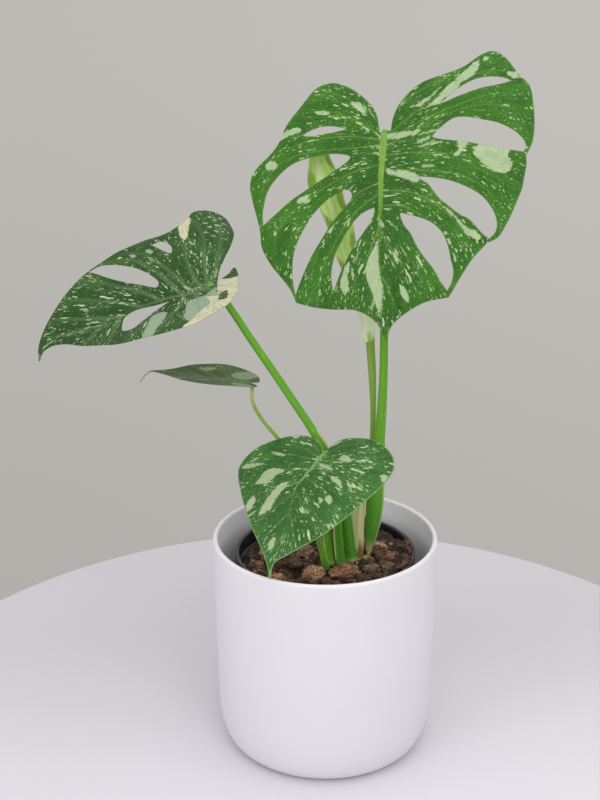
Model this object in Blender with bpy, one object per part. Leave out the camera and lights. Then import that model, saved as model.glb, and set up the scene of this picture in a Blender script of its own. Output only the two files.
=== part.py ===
"""Potted monstera plant: a young variegated monstera in a nursery pot inside a white cover pot.

Metres, +Z up. The origin is the middle of the cover pot's flat base, and -Y is the front.
Each leaf's outline is drawn flat, in millimetres: X across the blade, Y along it, with the
stalk's joint at (0, 0) and the tip towards -Y. The blade is then bent and set in its place.
"""

import math

import bmesh
import bpy
import numpy as np
from mathutils import Matrix, Vector
from mathutils.geometry import delaunay_2d_cdt

MM = 0.001
GAP = 0.0003                 # between pieces that touch

# Cover pot: straight wall, rounded lip, large soft curve above the flat foot
COVER_RADIUS = 0.070
COVER_HEIGHT = 0.140
COVER_TAPER = 0.0019
COVER_WALL = 0.0031
COVER_FLOOR = 0.006
CORNER_ACROSS = 0.0162
CORNER_UP = 0.0406
CORNER_POWER = 3.0
POT_STEPS = 56

# Nursery pot: thin tapered wall with a stepped band under its rim
NURSERY_RIM_RADIUS = 0.0565
NURSERY_RIM_TOP = 0.1295
NURSERY_BAND = 0.010
NURSERY_STEP = 0.0030
NURSERY_WALL = 0.0014
NURSERY_FOOT_RADIUS = 0.0430
NURSERY_STEPS = 40
DRAIN_HOLES = 6
DRAIN_RADIUS = 0.0035
DRAIN_CIRCLE = 0.026

# Potting mix: its top is a low mound
MIX_TOP = 0.1185
MIX_MOUND = 0.0020
MIX_STEPS = 32

# Blades
BLADE_THICKNESS = 0.0007
JOINT_CLEARANCE = 0.0022     # from a blade's middle to its stalk's end

# Colours, linear
WHITE_GLAZE = (0.78, 0.75, 0.78)
BLACK_PLASTIC = (0.012, 0.012, 0.013)
DARK_MIX = (0.030, 0.014, 0.008)
LEAF_GREEN = (0.045, 0.150, 0.028)
BLUE_GREEN = (0.030, 0.095, 0.040)
STALK_GREEN = (0.130, 0.330, 0.040)
PALE_GREEN = (0.330, 0.480, 0.120)
STRAW = (0.560, 0.420, 0.200)

BIG_LEAF = dict(
    joint=(0.035, 0.030, 0.385),
    towards_tip=(-0.016, -0.572, -0.821),
    facing=(-0.36, -0.77, 0.54),
    fold=8, arch=12, half_width=88, droop=6, length=125, lobe_fall=6, lobe=45,
    curl=0, curl_from=125,
    edge=7.5, inside=11,
    margin=[
        [(-3, 0), (-5, 12), (-10, 21), (-26, 33), (-41, 38), (-54, 31), (-64, 14), (-72, -5),
         (-84, -16), (-86, -26), (-83, -38), (-78, -52)],
        [(-78, -52), (-76, -64), (-66, -81), (-55, -98)],
        [(-55, -98), (-44, -103), (-23, -106), (-11, -111), (-5, -118), (-2, -125)],
        [(-2, -125), (1, -119), (9, -113), (22, -107), (36, -106)],
        [(36, -106), (45, -93), (51, -84), (59, -77)],
        [(59, -77), (67, -70), (77, -50), (82, -36), (82, -27)],
        [(82, -27), (86, -14), (87, 2), (84, 16), (73, 33), (62, 42), (47, 33), (23, 28), (12, 20),
         (6, 9), (4, 0)],
    ],
    slots=[
        [(-51, 5), (-46, 7.5), (-38, 9), (-29, 7.5), (-23, 5), (-29, 4), (-38, 3.5), (-46, 3.5)],
        [(-76, -49), (-76, -38), (-73, -27), (-65, -18), (-56, -12.5), (-44, -10), (-30, -10),
         (-20.5, -13.5), (-33, -23), (-56, -35), (-69, -44)],
        [(-55, -95), (-57, -86), (-56.5, -73), (-51, -57), (-42, -45), (-32, -37), (-22, -34),
         (-19.5, -38), (-33, -55), (-46, -75), (-52, -87)],
        [(-31.5, -96), (-33, -86), (-31, -74), (-24, -61), (-15, -50.5), (-6.5, -47), (-11, -58),
         (-19, -69), (-26, -82)],
        [(76, 19), (73, 21.5), (66, 24), (56, 24), (46, 20), (35, 11), (46, 14), (58, 17), (68, 18)],
        [(80.5, -24), (81, -16), (75, -9), (64, -4), (53, 0), (44, 1), (35, -2), (29, -10),
         (38, -11), (52, -15), (68, -21)],
        [(60, -73.5), (63, -66), (61.5, -57), (56, -48.5), (46, -41), (33, -35), (20, -33),
         (26, -39), (38, -51.5), (51, -64.5)],
        [(35.5, -102), (37.5, -93), (35, -81), (30, -69), (21, -58), (13, -52.5), (8, -52.5),
         (11, -64), (20, -79), (29, -94)],
    ],
)

LEFT_LEAF = dict(
    joint=(-0.0674, 0.005, 0.2997),
    towards_tip=(-0.877, -0.371, -0.305),
    facing=(-0.196, -0.303, 0.932),
    fold=14, arch=4, half_width=60, droop=4, length=110, lobe_fall=4, lobe=30,
    curl=4, curl_from=102,
    edge=6.5, inside=10,
    margin=[
        [(0, 3), (-10, 9), (-29, 25), (-45, 34), (-58, 35), (-69, 31), (-72, 24), (-66, 14)],
        [(-66, 14), (-60, 0), (-62, -20), (-59, -46), (-51, -71), (-37, -89), (-22, -102), (-5, -110)],
        [(-5, -110), (-8, -98), (3, -85), (18, -73), (31, -57), (40, -34), (41, -18), (35, -3),
         (16, 12), (-1, 17), (-9, 19), (-4, 13), (0, 3)],
    ],
    slots=[
        [(-55, -15), (-54.5, -8), (-46, -5), (-40, -8), (-47, -12)],
        [(-55, -57), (-56.5, -49), (-51, -40), (-42, -33), (-30, -27), (-20, -25), (-16.5, -28),
         (-24, -35), (-41, -48)],
        [(-2, -25), (-4, -35), (-6.5, -46), (-5, -54), (1, -58), (9, -60), (12.5, -55), (9, -47),
         (3, -38)],
    ],
)

FRONT_LEAF = dict(
    joint=(-0.001, -0.015, 0.201),
    towards_tip=(-0.358, -0.728, -0.590),
    facing=(-0.28, -0.52, 0.81),
    fold=10, arch=9, half_width=48, droop=5, length=86, lobe_fall=3, lobe=18,
    curl=0, curl_from=86,
    edge=5.5, inside=9,
    margin=[
        [(0, -1), (-4, 5), (-10, 8.5), (-19, 9), (-36, 2), (-48, -9), (-51, -19), (-42, -36),
         (-25, -58), (-14, -70), (-7, -79), (-3, -86)],
        [(-3, -86), (-4, -76), (4, -68), (22, -51), (35, -31), (44, -13), (46, -2), (41, 7),
         (28, 14), (16, 14), (6, 10), (0, -1)],
    ],
    slots=[],
)

SIDE_LEAF = dict(
    joint=(-0.0458, 0.012, 0.2364),
    towards_tip=(-0.986, 0.147, 0.082),
    facing=(0, -0.06, 1),
    fold=13, arch=0, half_width=20, droop=0, length=66, lobe_fall=2, lobe=10,
    curl=12, curl_from=60,
    edge=5, inside=8,
    margin=[
        [(0, -1), (-3, 5), (-8, 4), (-14, -7), (-17, -22), (-13, -37), (-6, -49), (-1, -60), (1, -68)],
        [(1, -68), (1, -60), (5, -50), (12, -39), (16, -25), (13, -9), (8, 3), (3, 5), (0, -1)],
    ],
    slots=[],
)

# Stalk routes: (x, y, z) in millimetres from the stem base up, then (height, width) pairs
BIG_STALK = dict(
    route=[(28, 11, 120), (29, 11.5, 132), (31, 12, 150), (32, 13, 170), (34, 15, 195), (36, 18, 235),
           (36, 22, 290), (35.5, 27, 350)],
    widths=[(120, 2.2), (128, 6), (140, 9), (155, 10.4), (172, 9.6), (192, 6.8), (235, 5.2), (385, 3.8)],
    flatness=0.72,
)
LEFT_STALK = dict(
    route=[(17, 3.5, 120), (15, 4, 138), (12.5, 3, 156), (7.5, 2, 177), (-1.5, 2, 198), (-25, 3, 236.5),
           (-44, 4, 266), (-58, 5, 288)],
    widths=[(120, 6.4), (150, 6.0), (175, 6.4), (200, 7.2), (215, 5.4), (300, 4.2)],
    flatness=0.85,
)
FRONT_STALK = dict(
    route=[(9.9, -3, 120), (8.3, -4, 138), (6.7, -6, 159), (4, -9, 181)],
    widths=[(120, 5.0), (145, 4.6), (200, 3.2)],
    flatness=0.9,
)
SIDE_STALK = dict(
    route=[(3.4, -2, 120), (2.2, 0, 136), (-4, 4, 158), (-15, 10, 181), (-28.7, 13, 199), (-37.4, 13, 210),
           (-41.6, 13, 217), (-44.5, 12, 225)],
    widths=[(120, 4.4), (150, 3.6), (190, 2.6), (240, 1.8)],
    flatness=0.9,
)
NEW_STALK = dict(
    route=[(27.5, 17.5, 120), (28.5, 18.5, 140), (29.5, 20, 165), (30.3, 24, 194), (30.5, 26, 213),
           (29.8, 28, 235), (28.6, 30, 254.2)],
    widths=[(120, 3.4), (180, 3.4), (215, 3.6), (240, 5.0), (254, 6.2)],
    flatness=1.0,
)
NEW_LEAF = dict(
    route=[(28.4, 30.4, 255.4), (26.5, 34, 269), (21.6, 39, 287.5), (16, 44, 304), (10.5, 49, 321.5),
           (5, 54, 340), (-0.5, 58, 359), (-3.5, 61, 371), (-5, 63, 378)],
    widths=[(255, 6.4), (263, 9.0), (275, 10.6), (300, 14), (325, 16), (350, 16), (367, 13), (374, 8),
            (378, 2)],
    flatness=0.85,
)
YOUNG_STEM = dict(
    route=[(1, -7.5, 120), (-1.6, -8.5, 131), (-4, -9, 141), (-5.5, -9, 150)],
    widths=[(120, 4.2), (138, 3.4), (150, 0.8)],
    flatness=0.5,
)
DRIED_SHEATH = dict(
    route=[(21.7, 8.6, 120), (21.2, 8.8, 130), (21, 9, 144), (21.6, 9, 154), (23.5, 9, 162)],
    widths=[(120, 4.4), (130, 6.2), (146, 6.6), (156, 4.6), (162, 1.6)],
    flatness=0.22,
)
STEM_BASE = dict(
    route=[(-2, -9, 112.5), (8, -3.5, 112.5), (18, 4, 112.5), (27, 12, 112.5), (31, 17, 112.5)],
    width=13, ends=4,
)

# Bark and coir pieces on the mix: x, y, then length, width, height in millimetres, turn in degrees
CHIPS = [
    (-7.5, -17, 17, 13, 10, 20),
    (11, -18, 23, 14, 11, -8),
    (29, -9, 13, 10, 6, 15),
    (27.5, -22, 9, 8, 6, -30),
    (37, 21, 16, 12, 8, 40),
    (42, 6, 13, 11, 8, 10),
    (40, -7, 13, 10, 7, 65),
    (39, -20, 11, 9, 6, 35),
    (23, 33, 15, 11, 7, -20),
    (8, 26, 18, 13, 8, 30),
    (-12, 15, 17, 12, 7, -35),
    (-20, -3, 16, 12, 8, 60),
    (-36, 14, 16, 13, 8, 12),
    (-42, -4, 11, 10, 6, 80),
    (-26, 31, 15, 11, 7, 48),
    (-6, 40, 15, 11, 7, 5),
    (-30, -23, 15, 11, 7, -15),
    (0, -37, 16, 12, 7, 25),
    (20, -35, 14, 11, 7, 70),
]
CHIP_COLOURS = [
    (0.170, 0.080, 0.035),
    (0.090, 0.034, 0.020),
    (0.075, 0.048, 0.024),
    (0.055, 0.020, 0.012),
]


def clear_scene():
    for old in list(bpy.data.objects):
        bpy.data.objects.remove(old, do_unlink=True)


def principled(name, colour, roughness, metallic=0.0):
    material = bpy.data.materials.new(name)
    material.use_nodes = True
    shader = material.node_tree.nodes["Principled BSDF"]
    shader.inputs["Base Color"].default_value = (*colour, 1)
    shader.inputs["Roughness"].default_value = roughness
    shader.inputs["Metallic"].default_value = metallic
    material.diffuse_color = (*colour, 1)
    return material


def add_object(name, bm, material, sharp_angle=40):
    """Turns a bmesh into a named object with its faces pointing out and its round parts smooth."""
    bmesh.ops.recalc_face_normals(bm, faces=bm.faces)
    mesh = bpy.data.meshes.new(name)
    bm.to_mesh(mesh)
    bm.free()
    mesh.materials.append(material)
    mesh.shade_smooth()
    mesh.set_sharp_from_angle(angle=math.radians(sharp_angle))
    obj = bpy.data.objects.new(name, mesh)
    bpy.context.scene.collection.objects.link(obj)
    return obj


def cut(obj, cutter):
    """Cuts the cutter's shape out of obj, and keeps the cutter as a hidden guide."""
    cutter.hide_render = True
    cutter.display_type = "WIRE"
    boolean = obj.modifiers.new("Cut", "BOOLEAN")
    boolean.operation = "DIFFERENCE"
    boolean.solver = "EXACT"
    boolean.object = cutter


def turned(name, profile, steps, material):
    """A solid turned round Z from (radius, height) points that start and end on the axis."""
    bm = bmesh.new()
    verts = [bm.verts.new((radius, 0, height)) for radius, height in profile]
    edges = [bm.edges.new(pair) for pair in zip(verts, verts[1:])]
    bmesh.ops.spin(
        bm, geom=verts + edges, cent=(0, 0, 0), axis=(0, 0, 1), angle=math.tau, steps=steps
    )
    bmesh.ops.remove_doubles(bm, verts=bm.verts, dist=1e-6)
    return add_object(name, bm, material)


def smooth_curve(points, spacing):
    """Points about one spacing apart on a smooth curve through the given ones (Catmull-Rom)."""
    given = [np.array(point, float) for point in points]
    padded = [2 * given[0] - given[1], *given, 2 * given[-1] - given[-2]]
    result = []
    for before, start, end, after in zip(padded, padded[1:], padded[2:], padded[3:]):
        count = max(1, round(float(np.linalg.norm(end - start)) / spacing))
        pairs = ((before, start), (start, end), (end, after))
        knots = np.cumsum([0] + [np.linalg.norm(b - a) ** 0.5 for a, b in pairs])
        for step in range(count):
            t = knots[1] + (knots[2] - knots[1]) * step / count
            result.append(curve_point((before, start, end, after), knots, t))
    result.append(given[-1])
    return result


def curve_point(points, knots, t):
    """The point at knot value t of the curve that runs between the middle two of four points."""
    first = [blend(points[i], points[i + 1], knots[i], knots[i + 1], t) for i in range(3)]
    second = [blend(first[i], first[i + 1], knots[i], knots[i + 2], t) for i in range(2)]
    return blend(*second, knots[1], knots[2], t)


def blend(start, end, low, high, t):
    return start + (end - start) * ((t - low) / (high - low))


def loop_points(runs, spacing):
    """One closed outline from smooth runs that meet at corners."""
    outline = []
    for run in runs:
        outline.extend(smooth_curve(run, spacing)[:-1])
    if np.linalg.norm(np.array(runs[-1][-1], float) - np.array(runs[0][0], float)) > 0:
        outline.append(np.array(runs[-1][-1], float))
    return np.array(outline)


def inside(point, loop):
    """Whether a flat point lies inside a closed loop."""
    x, y = point
    ahead = np.roll(loop, -1, axis=0)
    crosses = (loop[:, 1] > y) != (ahead[:, 1] > y)
    drop = np.where(ahead[:, 1] == loop[:, 1], 1, ahead[:, 1] - loop[:, 1])
    at = loop[:, 0] + (y - loop[:, 1]) / drop * (ahead[:, 0] - loop[:, 0])
    return int((crosses & (x < at)).sum()) % 2 == 1


def flat_blade(leaf):
    """(points, triangles) of the flat blade, in millimetres, with its slots left open."""
    rim = loop_points(leaf["margin"], leaf["edge"])
    slots = [loop_points([slot + slot[:1]], leaf["edge"]) for slot in leaf["slots"]]
    loops = [rim, *slots]
    border = np.concatenate(loops)
    edges = []
    first = 0
    for loop in loops:
        edges += [(first + i, first + (i + 1) % len(loop)) for i in range(len(loop))]
        first += len(loop)
    grid = []
    step = leaf["inside"]
    low, high = rim.min(axis=0), rim.max(axis=0)
    for row in range(int((high[1] - low[1]) / (step * 0.866)) + 1):
        for column in range(int((high[0] - low[0]) / step) + 1):
            point = (low[0] + (column + 0.5 * (row % 2)) * step, low[1] + row * step * 0.866)
            near = np.linalg.norm(border - point, axis=1).min()
            if near > 0.6 * step and in_blade(point, rim, slots):
                grid.append(point)
    verts, _, faces, *_ = delaunay_2d_cdt(
        [Vector(point) for point in [*border, *grid]], edges, [], 1, 1e-5
    )
    points = np.array([tuple(vert) for vert in verts])
    kept = [face for face in faces if in_blade(points[list(face)].mean(axis=0), rim, slots)]
    return points, kept


def in_blade(point, rim, slots):
    return inside(point, rim) and not any(inside(point, slot) for slot in slots)


def bent(points, leaf):
    """Lifts the flat points: a fold along the midrib, then arching, drooping and a curled tip."""
    x, y = points[:, 0], points[:, 1]
    towards_tip = np.maximum(0, -y)
    z = math.tan(math.radians(leaf["fold"])) * (np.sqrt(x * x + 36) - 6)
    z -= leaf["arch"] * (x / leaf["half_width"]) ** 2
    z -= leaf["droop"] * (towards_tip / leaf["length"]) ** 2
    z -= leaf["lobe_fall"] * (np.maximum(0, y) / leaf["lobe"]) ** 2
    z -= leaf["curl"] * (np.maximum(0, towards_tip - leaf["curl_from"]) / 10) ** 2
    return np.column_stack([x, y, z]) * MM


def leaf_axes(leaf):
    """World directions of the blade's X, Y and Z."""
    along = -Vector(leaf["towards_tip"]).normalized()
    up = Vector(leaf["facing"])
    up = (up - up.dot(along) * along).normalized()
    return along.cross(up), along, up


def add_blade(name, leaf, material):
    points, faces = flat_blade(leaf)
    bm = bmesh.new()
    verts = [bm.verts.new(point) for point in bent(points, leaf)]
    for face in faces:
        bm.faces.new([verts[i] for i in face])
    bmesh.ops.delete(bm, geom=[vert for vert in bm.verts if not vert.link_faces], context="VERTS")
    obj = add_object(name, bm, material)
    obj.location = leaf["joint"]
    obj.rotation_euler = Matrix(leaf_axes(leaf)).transposed().to_euler()
    solid = obj.modifiers.new("Thickness", "SOLIDIFY")
    solid.thickness = BLADE_THICKNESS
    solid.offset = 0
    return obj


def tube(name, route, widths, flatness, sides, spacing, material):
    """A tapered stalk along a smooth route in millimetres; its section is widest across the front."""
    line = smooth_curve(route, spacing)
    bm = bmesh.new()
    rings = []
    for index, centre in enumerate(line):
        ahead = line[min(index + 1, len(line) - 1)] - line[max(index - 1, 0)]
        tangent = Vector(ahead).normalized()
        across = tangent.cross(Vector((0, 1, 0)))
        if across.length < 0.2:
            across = tangent.cross(Vector((0, 0, 1)))
        across.normalize()
        deep = tangent.cross(across)
        half = widths(index / (len(line) - 1), centre) / 2
        ring = []
        for side in range(sides):
            angle = math.tau * side / sides
            offset = across * (half * math.cos(angle)) + deep * (half * flatness * math.sin(angle))
            ring.append(bm.verts.new((Vector(centre) + offset) * MM))
        rings.append(ring)
    for low, high in zip(rings, rings[1:]):
        for i in range(sides):
            j = (i + 1) % sides
            bm.faces.new((low[i], low[j], high[j], high[i]))
    bm.faces.new(rings[0][::-1])
    bm.faces.new(rings[-1])
    return add_object(name, bm, material)


def add_stalk(name, stalk, material, leaf=None, sides=10, spacing=11):
    """A stalk whose width follows its height. It ends close under its leaf's joint, if it has one."""
    route = list(stalk["route"])
    if leaf:
        end = Vector(leaf["joint"]) - leaf_axes(leaf)[2] * JOINT_CLEARANCE
        route.append(tuple(end / MM))
    heights = [height for height, _ in stalk["widths"]]
    sizes = [width for _, width in stalk["widths"]]
    return tube(
        name, route, lambda _, centre: np.interp(centre[2], heights, sizes),
        stalk["flatness"], sides, spacing, material,
    )


def add_stem_base(name, growth, material):
    """The short creeping stem: a rounded bar that lies in the top of the mix."""
    full = STEM_BASE["width"] + 2 * growth
    ends = STEM_BASE["ends"] + 2 * growth
    return tube(
        name, STEM_BASE["route"],
        lambda along, _: ends + (full - ends) * math.sin(math.pi * along) ** 0.5,
        1.0, 10, 6, material,
    )


def cover_pot():
    foot = COVER_RADIUS - COVER_TAPER
    wall = COVER_WALL

    def outer(height):
        """Radius of the outside at a height."""
        side = foot + COVER_TAPER * height / COVER_HEIGHT
        if height >= CORNER_UP:
            return side
        rise = (CORNER_UP - height) / CORNER_UP
        return side - CORNER_ACROSS * (1 - (1 - rise**CORNER_POWER) ** (1 / CORNER_POWER))

    corner = [CORNER_UP * (1 - math.cos(math.pi / 2 * i / 7)) for i in range(8)]
    outside = [(0, 0)] + [(outer(height), height) for height in corner]
    lip = []
    middle = COVER_RADIUS - wall / 2
    for i in range(7):
        angle = math.pi * i / 6
        lip.append((middle + wall / 2 * math.cos(angle), COVER_HEIGHT - wall / 2 + wall / 2 * math.sin(angle)))
    inner = [COVER_FLOOR + (CORNER_UP - COVER_FLOOR) * (1 - math.cos(math.pi / 2 * i / 5)) for i in range(6)]
    inside_wall = [(outer(height) - wall, height) for height in reversed(inner)]
    profile = outside + lip + inside_wall + [(0, COVER_FLOOR)]
    return turned("cover_pot", profile, POT_STEPS, principled("cover_pot", WHITE_GLAZE, 0.55))


def nursery_inner(height):
    """Inside radius of the nursery pot at a height below its stepped band."""
    bottom = COVER_FLOOR + GAP
    top = NURSERY_RIM_TOP - NURSERY_BAND
    shoulder = NURSERY_RIM_RADIUS - NURSERY_STEP
    rise = (height - bottom) / (top - bottom)
    return NURSERY_FOOT_RADIUS + (shoulder - NURSERY_FOOT_RADIUS) * rise - NURSERY_WALL


def nursery_pot():
    bottom = COVER_FLOOR + GAP
    band = NURSERY_RIM_TOP - NURSERY_BAND
    shoulder = NURSERY_RIM_RADIUS - NURSERY_STEP
    rim = NURSERY_RIM_RADIUS
    wall = NURSERY_WALL
    profile = [
        (0, bottom),
        (NURSERY_FOOT_RADIUS - 0.002, bottom),
        (NURSERY_FOOT_RADIUS, bottom + 0.002),
        (shoulder, band),
        (rim - 0.0004, band),
        (rim, NURSERY_RIM_TOP - 0.0008),
        (rim - 0.0008, NURSERY_RIM_TOP),
        (rim - wall - 0.0004, NURSERY_RIM_TOP),
        (rim - wall - 0.0008, NURSERY_RIM_TOP - 0.001),
        (rim - wall - 0.0012, band + wall),
        (nursery_inner(band), band),
        (nursery_inner(bottom + 0.004), bottom + 0.004),
        (nursery_inner(bottom) - 0.003, bottom + wall),
        (0, bottom + wall),
    ]
    pot = turned("nursery_pot", profile, NURSERY_STEPS, principled("nursery_pot", BLACK_PLASTIC, 0.35))
    bm = bmesh.new()
    for i in range(DRAIN_HOLES):
        angle = math.tau * i / DRAIN_HOLES
        place = Matrix.Translation(
            (DRAIN_CIRCLE * math.cos(angle), DRAIN_CIRCLE * math.sin(angle), bottom)
        )
        bmesh.ops.create_cone(
            bm, cap_ends=True, segments=12, radius1=DRAIN_RADIUS, radius2=DRAIN_RADIUS,
            depth=6 * wall, matrix=place,
        )
    cut(pot, add_object("drain_cutter", bm, pot.data.materials[0]))


def mix_height(radius):
    """Height of the mix's mounded top at a distance from the pot's axis."""
    return MIX_TOP - MIX_MOUND * min(1, radius / 0.052) ** 2


def potting_mix(stem_socket):
    floor = COVER_FLOOR + GAP + NURSERY_WALL + GAP
    profile = [(0, floor), (nursery_inner(floor) - 0.0045, floor)]
    profile += [(nursery_inner(height) - GAP, height) for height in (floor + 0.005, 0.060)]
    edge = mix_height(0.052)
    profile += [(nursery_inner(edge) - GAP, edge)]
    profile += [(radius, mix_height(radius)) for radius in (0.040, 0.027, 0.014)]
    profile += [(0, MIX_TOP)]
    mix = turned("potting_mix", profile, MIX_STEPS, principled("potting_mix", DARK_MIX, 0.95))
    cut(mix, stem_socket)


def bark_chips():
    """Angular lumps with flat undersides, each resting on the mix."""
    materials = [principled(f"bark_{i}", colour, 0.9) for i, colour in enumerate(CHIP_COLOURS)]
    dice = np.random.default_rng(12)
    for number, (x, y, length, width, height, turn) in enumerate(CHIPS, 1):
        bm = bmesh.new()
        bmesh.ops.create_icosphere(bm, subdivisions=1, radius=0.5)
        for vert in bm.verts:
            vert.co *= dice.uniform(0.82, 1.12)
            vert.co.z = max(vert.co.z, -0.30)
        lowest = min(vert.co.z for vert in bm.verts)
        for vert in bm.verts:
            vert.co.z -= lowest
            vert.co = Vector((vert.co.x * length, vert.co.y * width, vert.co.z * height)) * MM
        reach = math.hypot(x, y) - max(length, width) / 2
        chip = add_object(f"bark_chip_{number:02d}", bm, materials[(number - 1) % len(materials)], 25)
        chip.location = (x * MM, y * MM, mix_height(max(0, reach) * MM) + GAP)
        chip.rotation_euler = (0, 0, math.radians(turn))


def main():
    clear_scene()
    green = principled("leaf_green", LEAF_GREEN, 0.42)
    blue_green = principled("leaf_blue_green", BLUE_GREEN, 0.40)
    stalk_green = principled("stalk_green", STALK_GREEN, 0.40)
    pale_green = principled("pale_green", PALE_GREEN, 0.45)
    straw = principled("straw", STRAW, 0.75)

    cover_pot()
    nursery_pot()
    socket = add_stem_base("stem_socket", 2 * GAP / MM, stalk_green)
    potting_mix(socket)
    bark_chips()
    add_stem_base("stem_base", 0, stalk_green)

    add_blade("big_leaf_blade", BIG_LEAF, green)
    add_blade("left_leaf_blade", LEFT_LEAF, blue_green)
    add_blade("front_leaf_blade", FRONT_LEAF, blue_green)
    add_blade("side_leaf_blade", SIDE_LEAF, blue_green)
    add_stalk("big_leaf_stalk", BIG_STALK, stalk_green, BIG_LEAF)
    add_stalk("left_leaf_stalk", LEFT_STALK, stalk_green, LEFT_LEAF)
    add_stalk("front_leaf_stalk", FRONT_STALK, stalk_green, FRONT_LEAF)
    add_stalk("side_leaf_stalk", SIDE_STALK, pale_green, SIDE_LEAF, sides=8)
    add_stalk("new_leaf_stalk", NEW_STALK, pale_green)
    add_stalk("new_leaf", NEW_LEAF, pale_green, sides=12, spacing=9)
    add_stalk("young_stem", YOUNG_STEM, pale_green, sides=8, spacing=8)
    add_stalk("dried_sheath", DRIED_SHEATH, straw, sides=10, spacing=7)


main()
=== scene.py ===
"""Potted monstera plant: a young variegated monstera in a nursery pot inside a white cover pot.

Metres, +Z up, -Y to the front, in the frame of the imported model. Each leaf is drawn flat in
millimetres, with its stalk's joint at (0, 0) and its tip towards -Y, then bent and set in place.
"""

import math

import bmesh
import bpy
import numpy as np
from bpy.props import FloatProperty, FloatVectorProperty, IntProperty, PointerProperty
from bpy.types import Operator, Panel, PropertyGroup
from mathutils import Matrix, Vector, noise
from mathutils.geometry import delaunay_2d_cdt


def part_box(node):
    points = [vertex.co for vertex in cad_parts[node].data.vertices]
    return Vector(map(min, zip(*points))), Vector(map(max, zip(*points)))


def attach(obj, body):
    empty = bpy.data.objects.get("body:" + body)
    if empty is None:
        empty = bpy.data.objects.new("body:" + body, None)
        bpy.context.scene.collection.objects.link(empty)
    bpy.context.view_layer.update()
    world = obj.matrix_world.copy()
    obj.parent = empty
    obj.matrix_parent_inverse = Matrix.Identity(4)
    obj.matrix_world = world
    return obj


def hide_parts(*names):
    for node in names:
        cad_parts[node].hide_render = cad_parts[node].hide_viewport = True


bl_info = {
    "name": "Potted monstera",
    "version": (1, 0, 0),
    "blender": (4, 5, 0),
    "location": "3D View > Sidebar > Monstera",
    "description": "Builds a potted variegated monstera plant, leaf by leaf, around its packed frame",
    "category": "Object",
}

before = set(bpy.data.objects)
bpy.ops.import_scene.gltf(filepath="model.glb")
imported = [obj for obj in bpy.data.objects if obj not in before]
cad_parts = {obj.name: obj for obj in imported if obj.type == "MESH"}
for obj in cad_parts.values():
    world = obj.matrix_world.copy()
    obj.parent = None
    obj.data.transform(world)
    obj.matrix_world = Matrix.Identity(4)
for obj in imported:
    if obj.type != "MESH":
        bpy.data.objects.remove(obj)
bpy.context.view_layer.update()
POT_LOW, POT_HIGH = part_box("cover_pot")
NURSERY_LOW, NURSERY_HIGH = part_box("nursery_pot")
MM = 0.001

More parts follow.
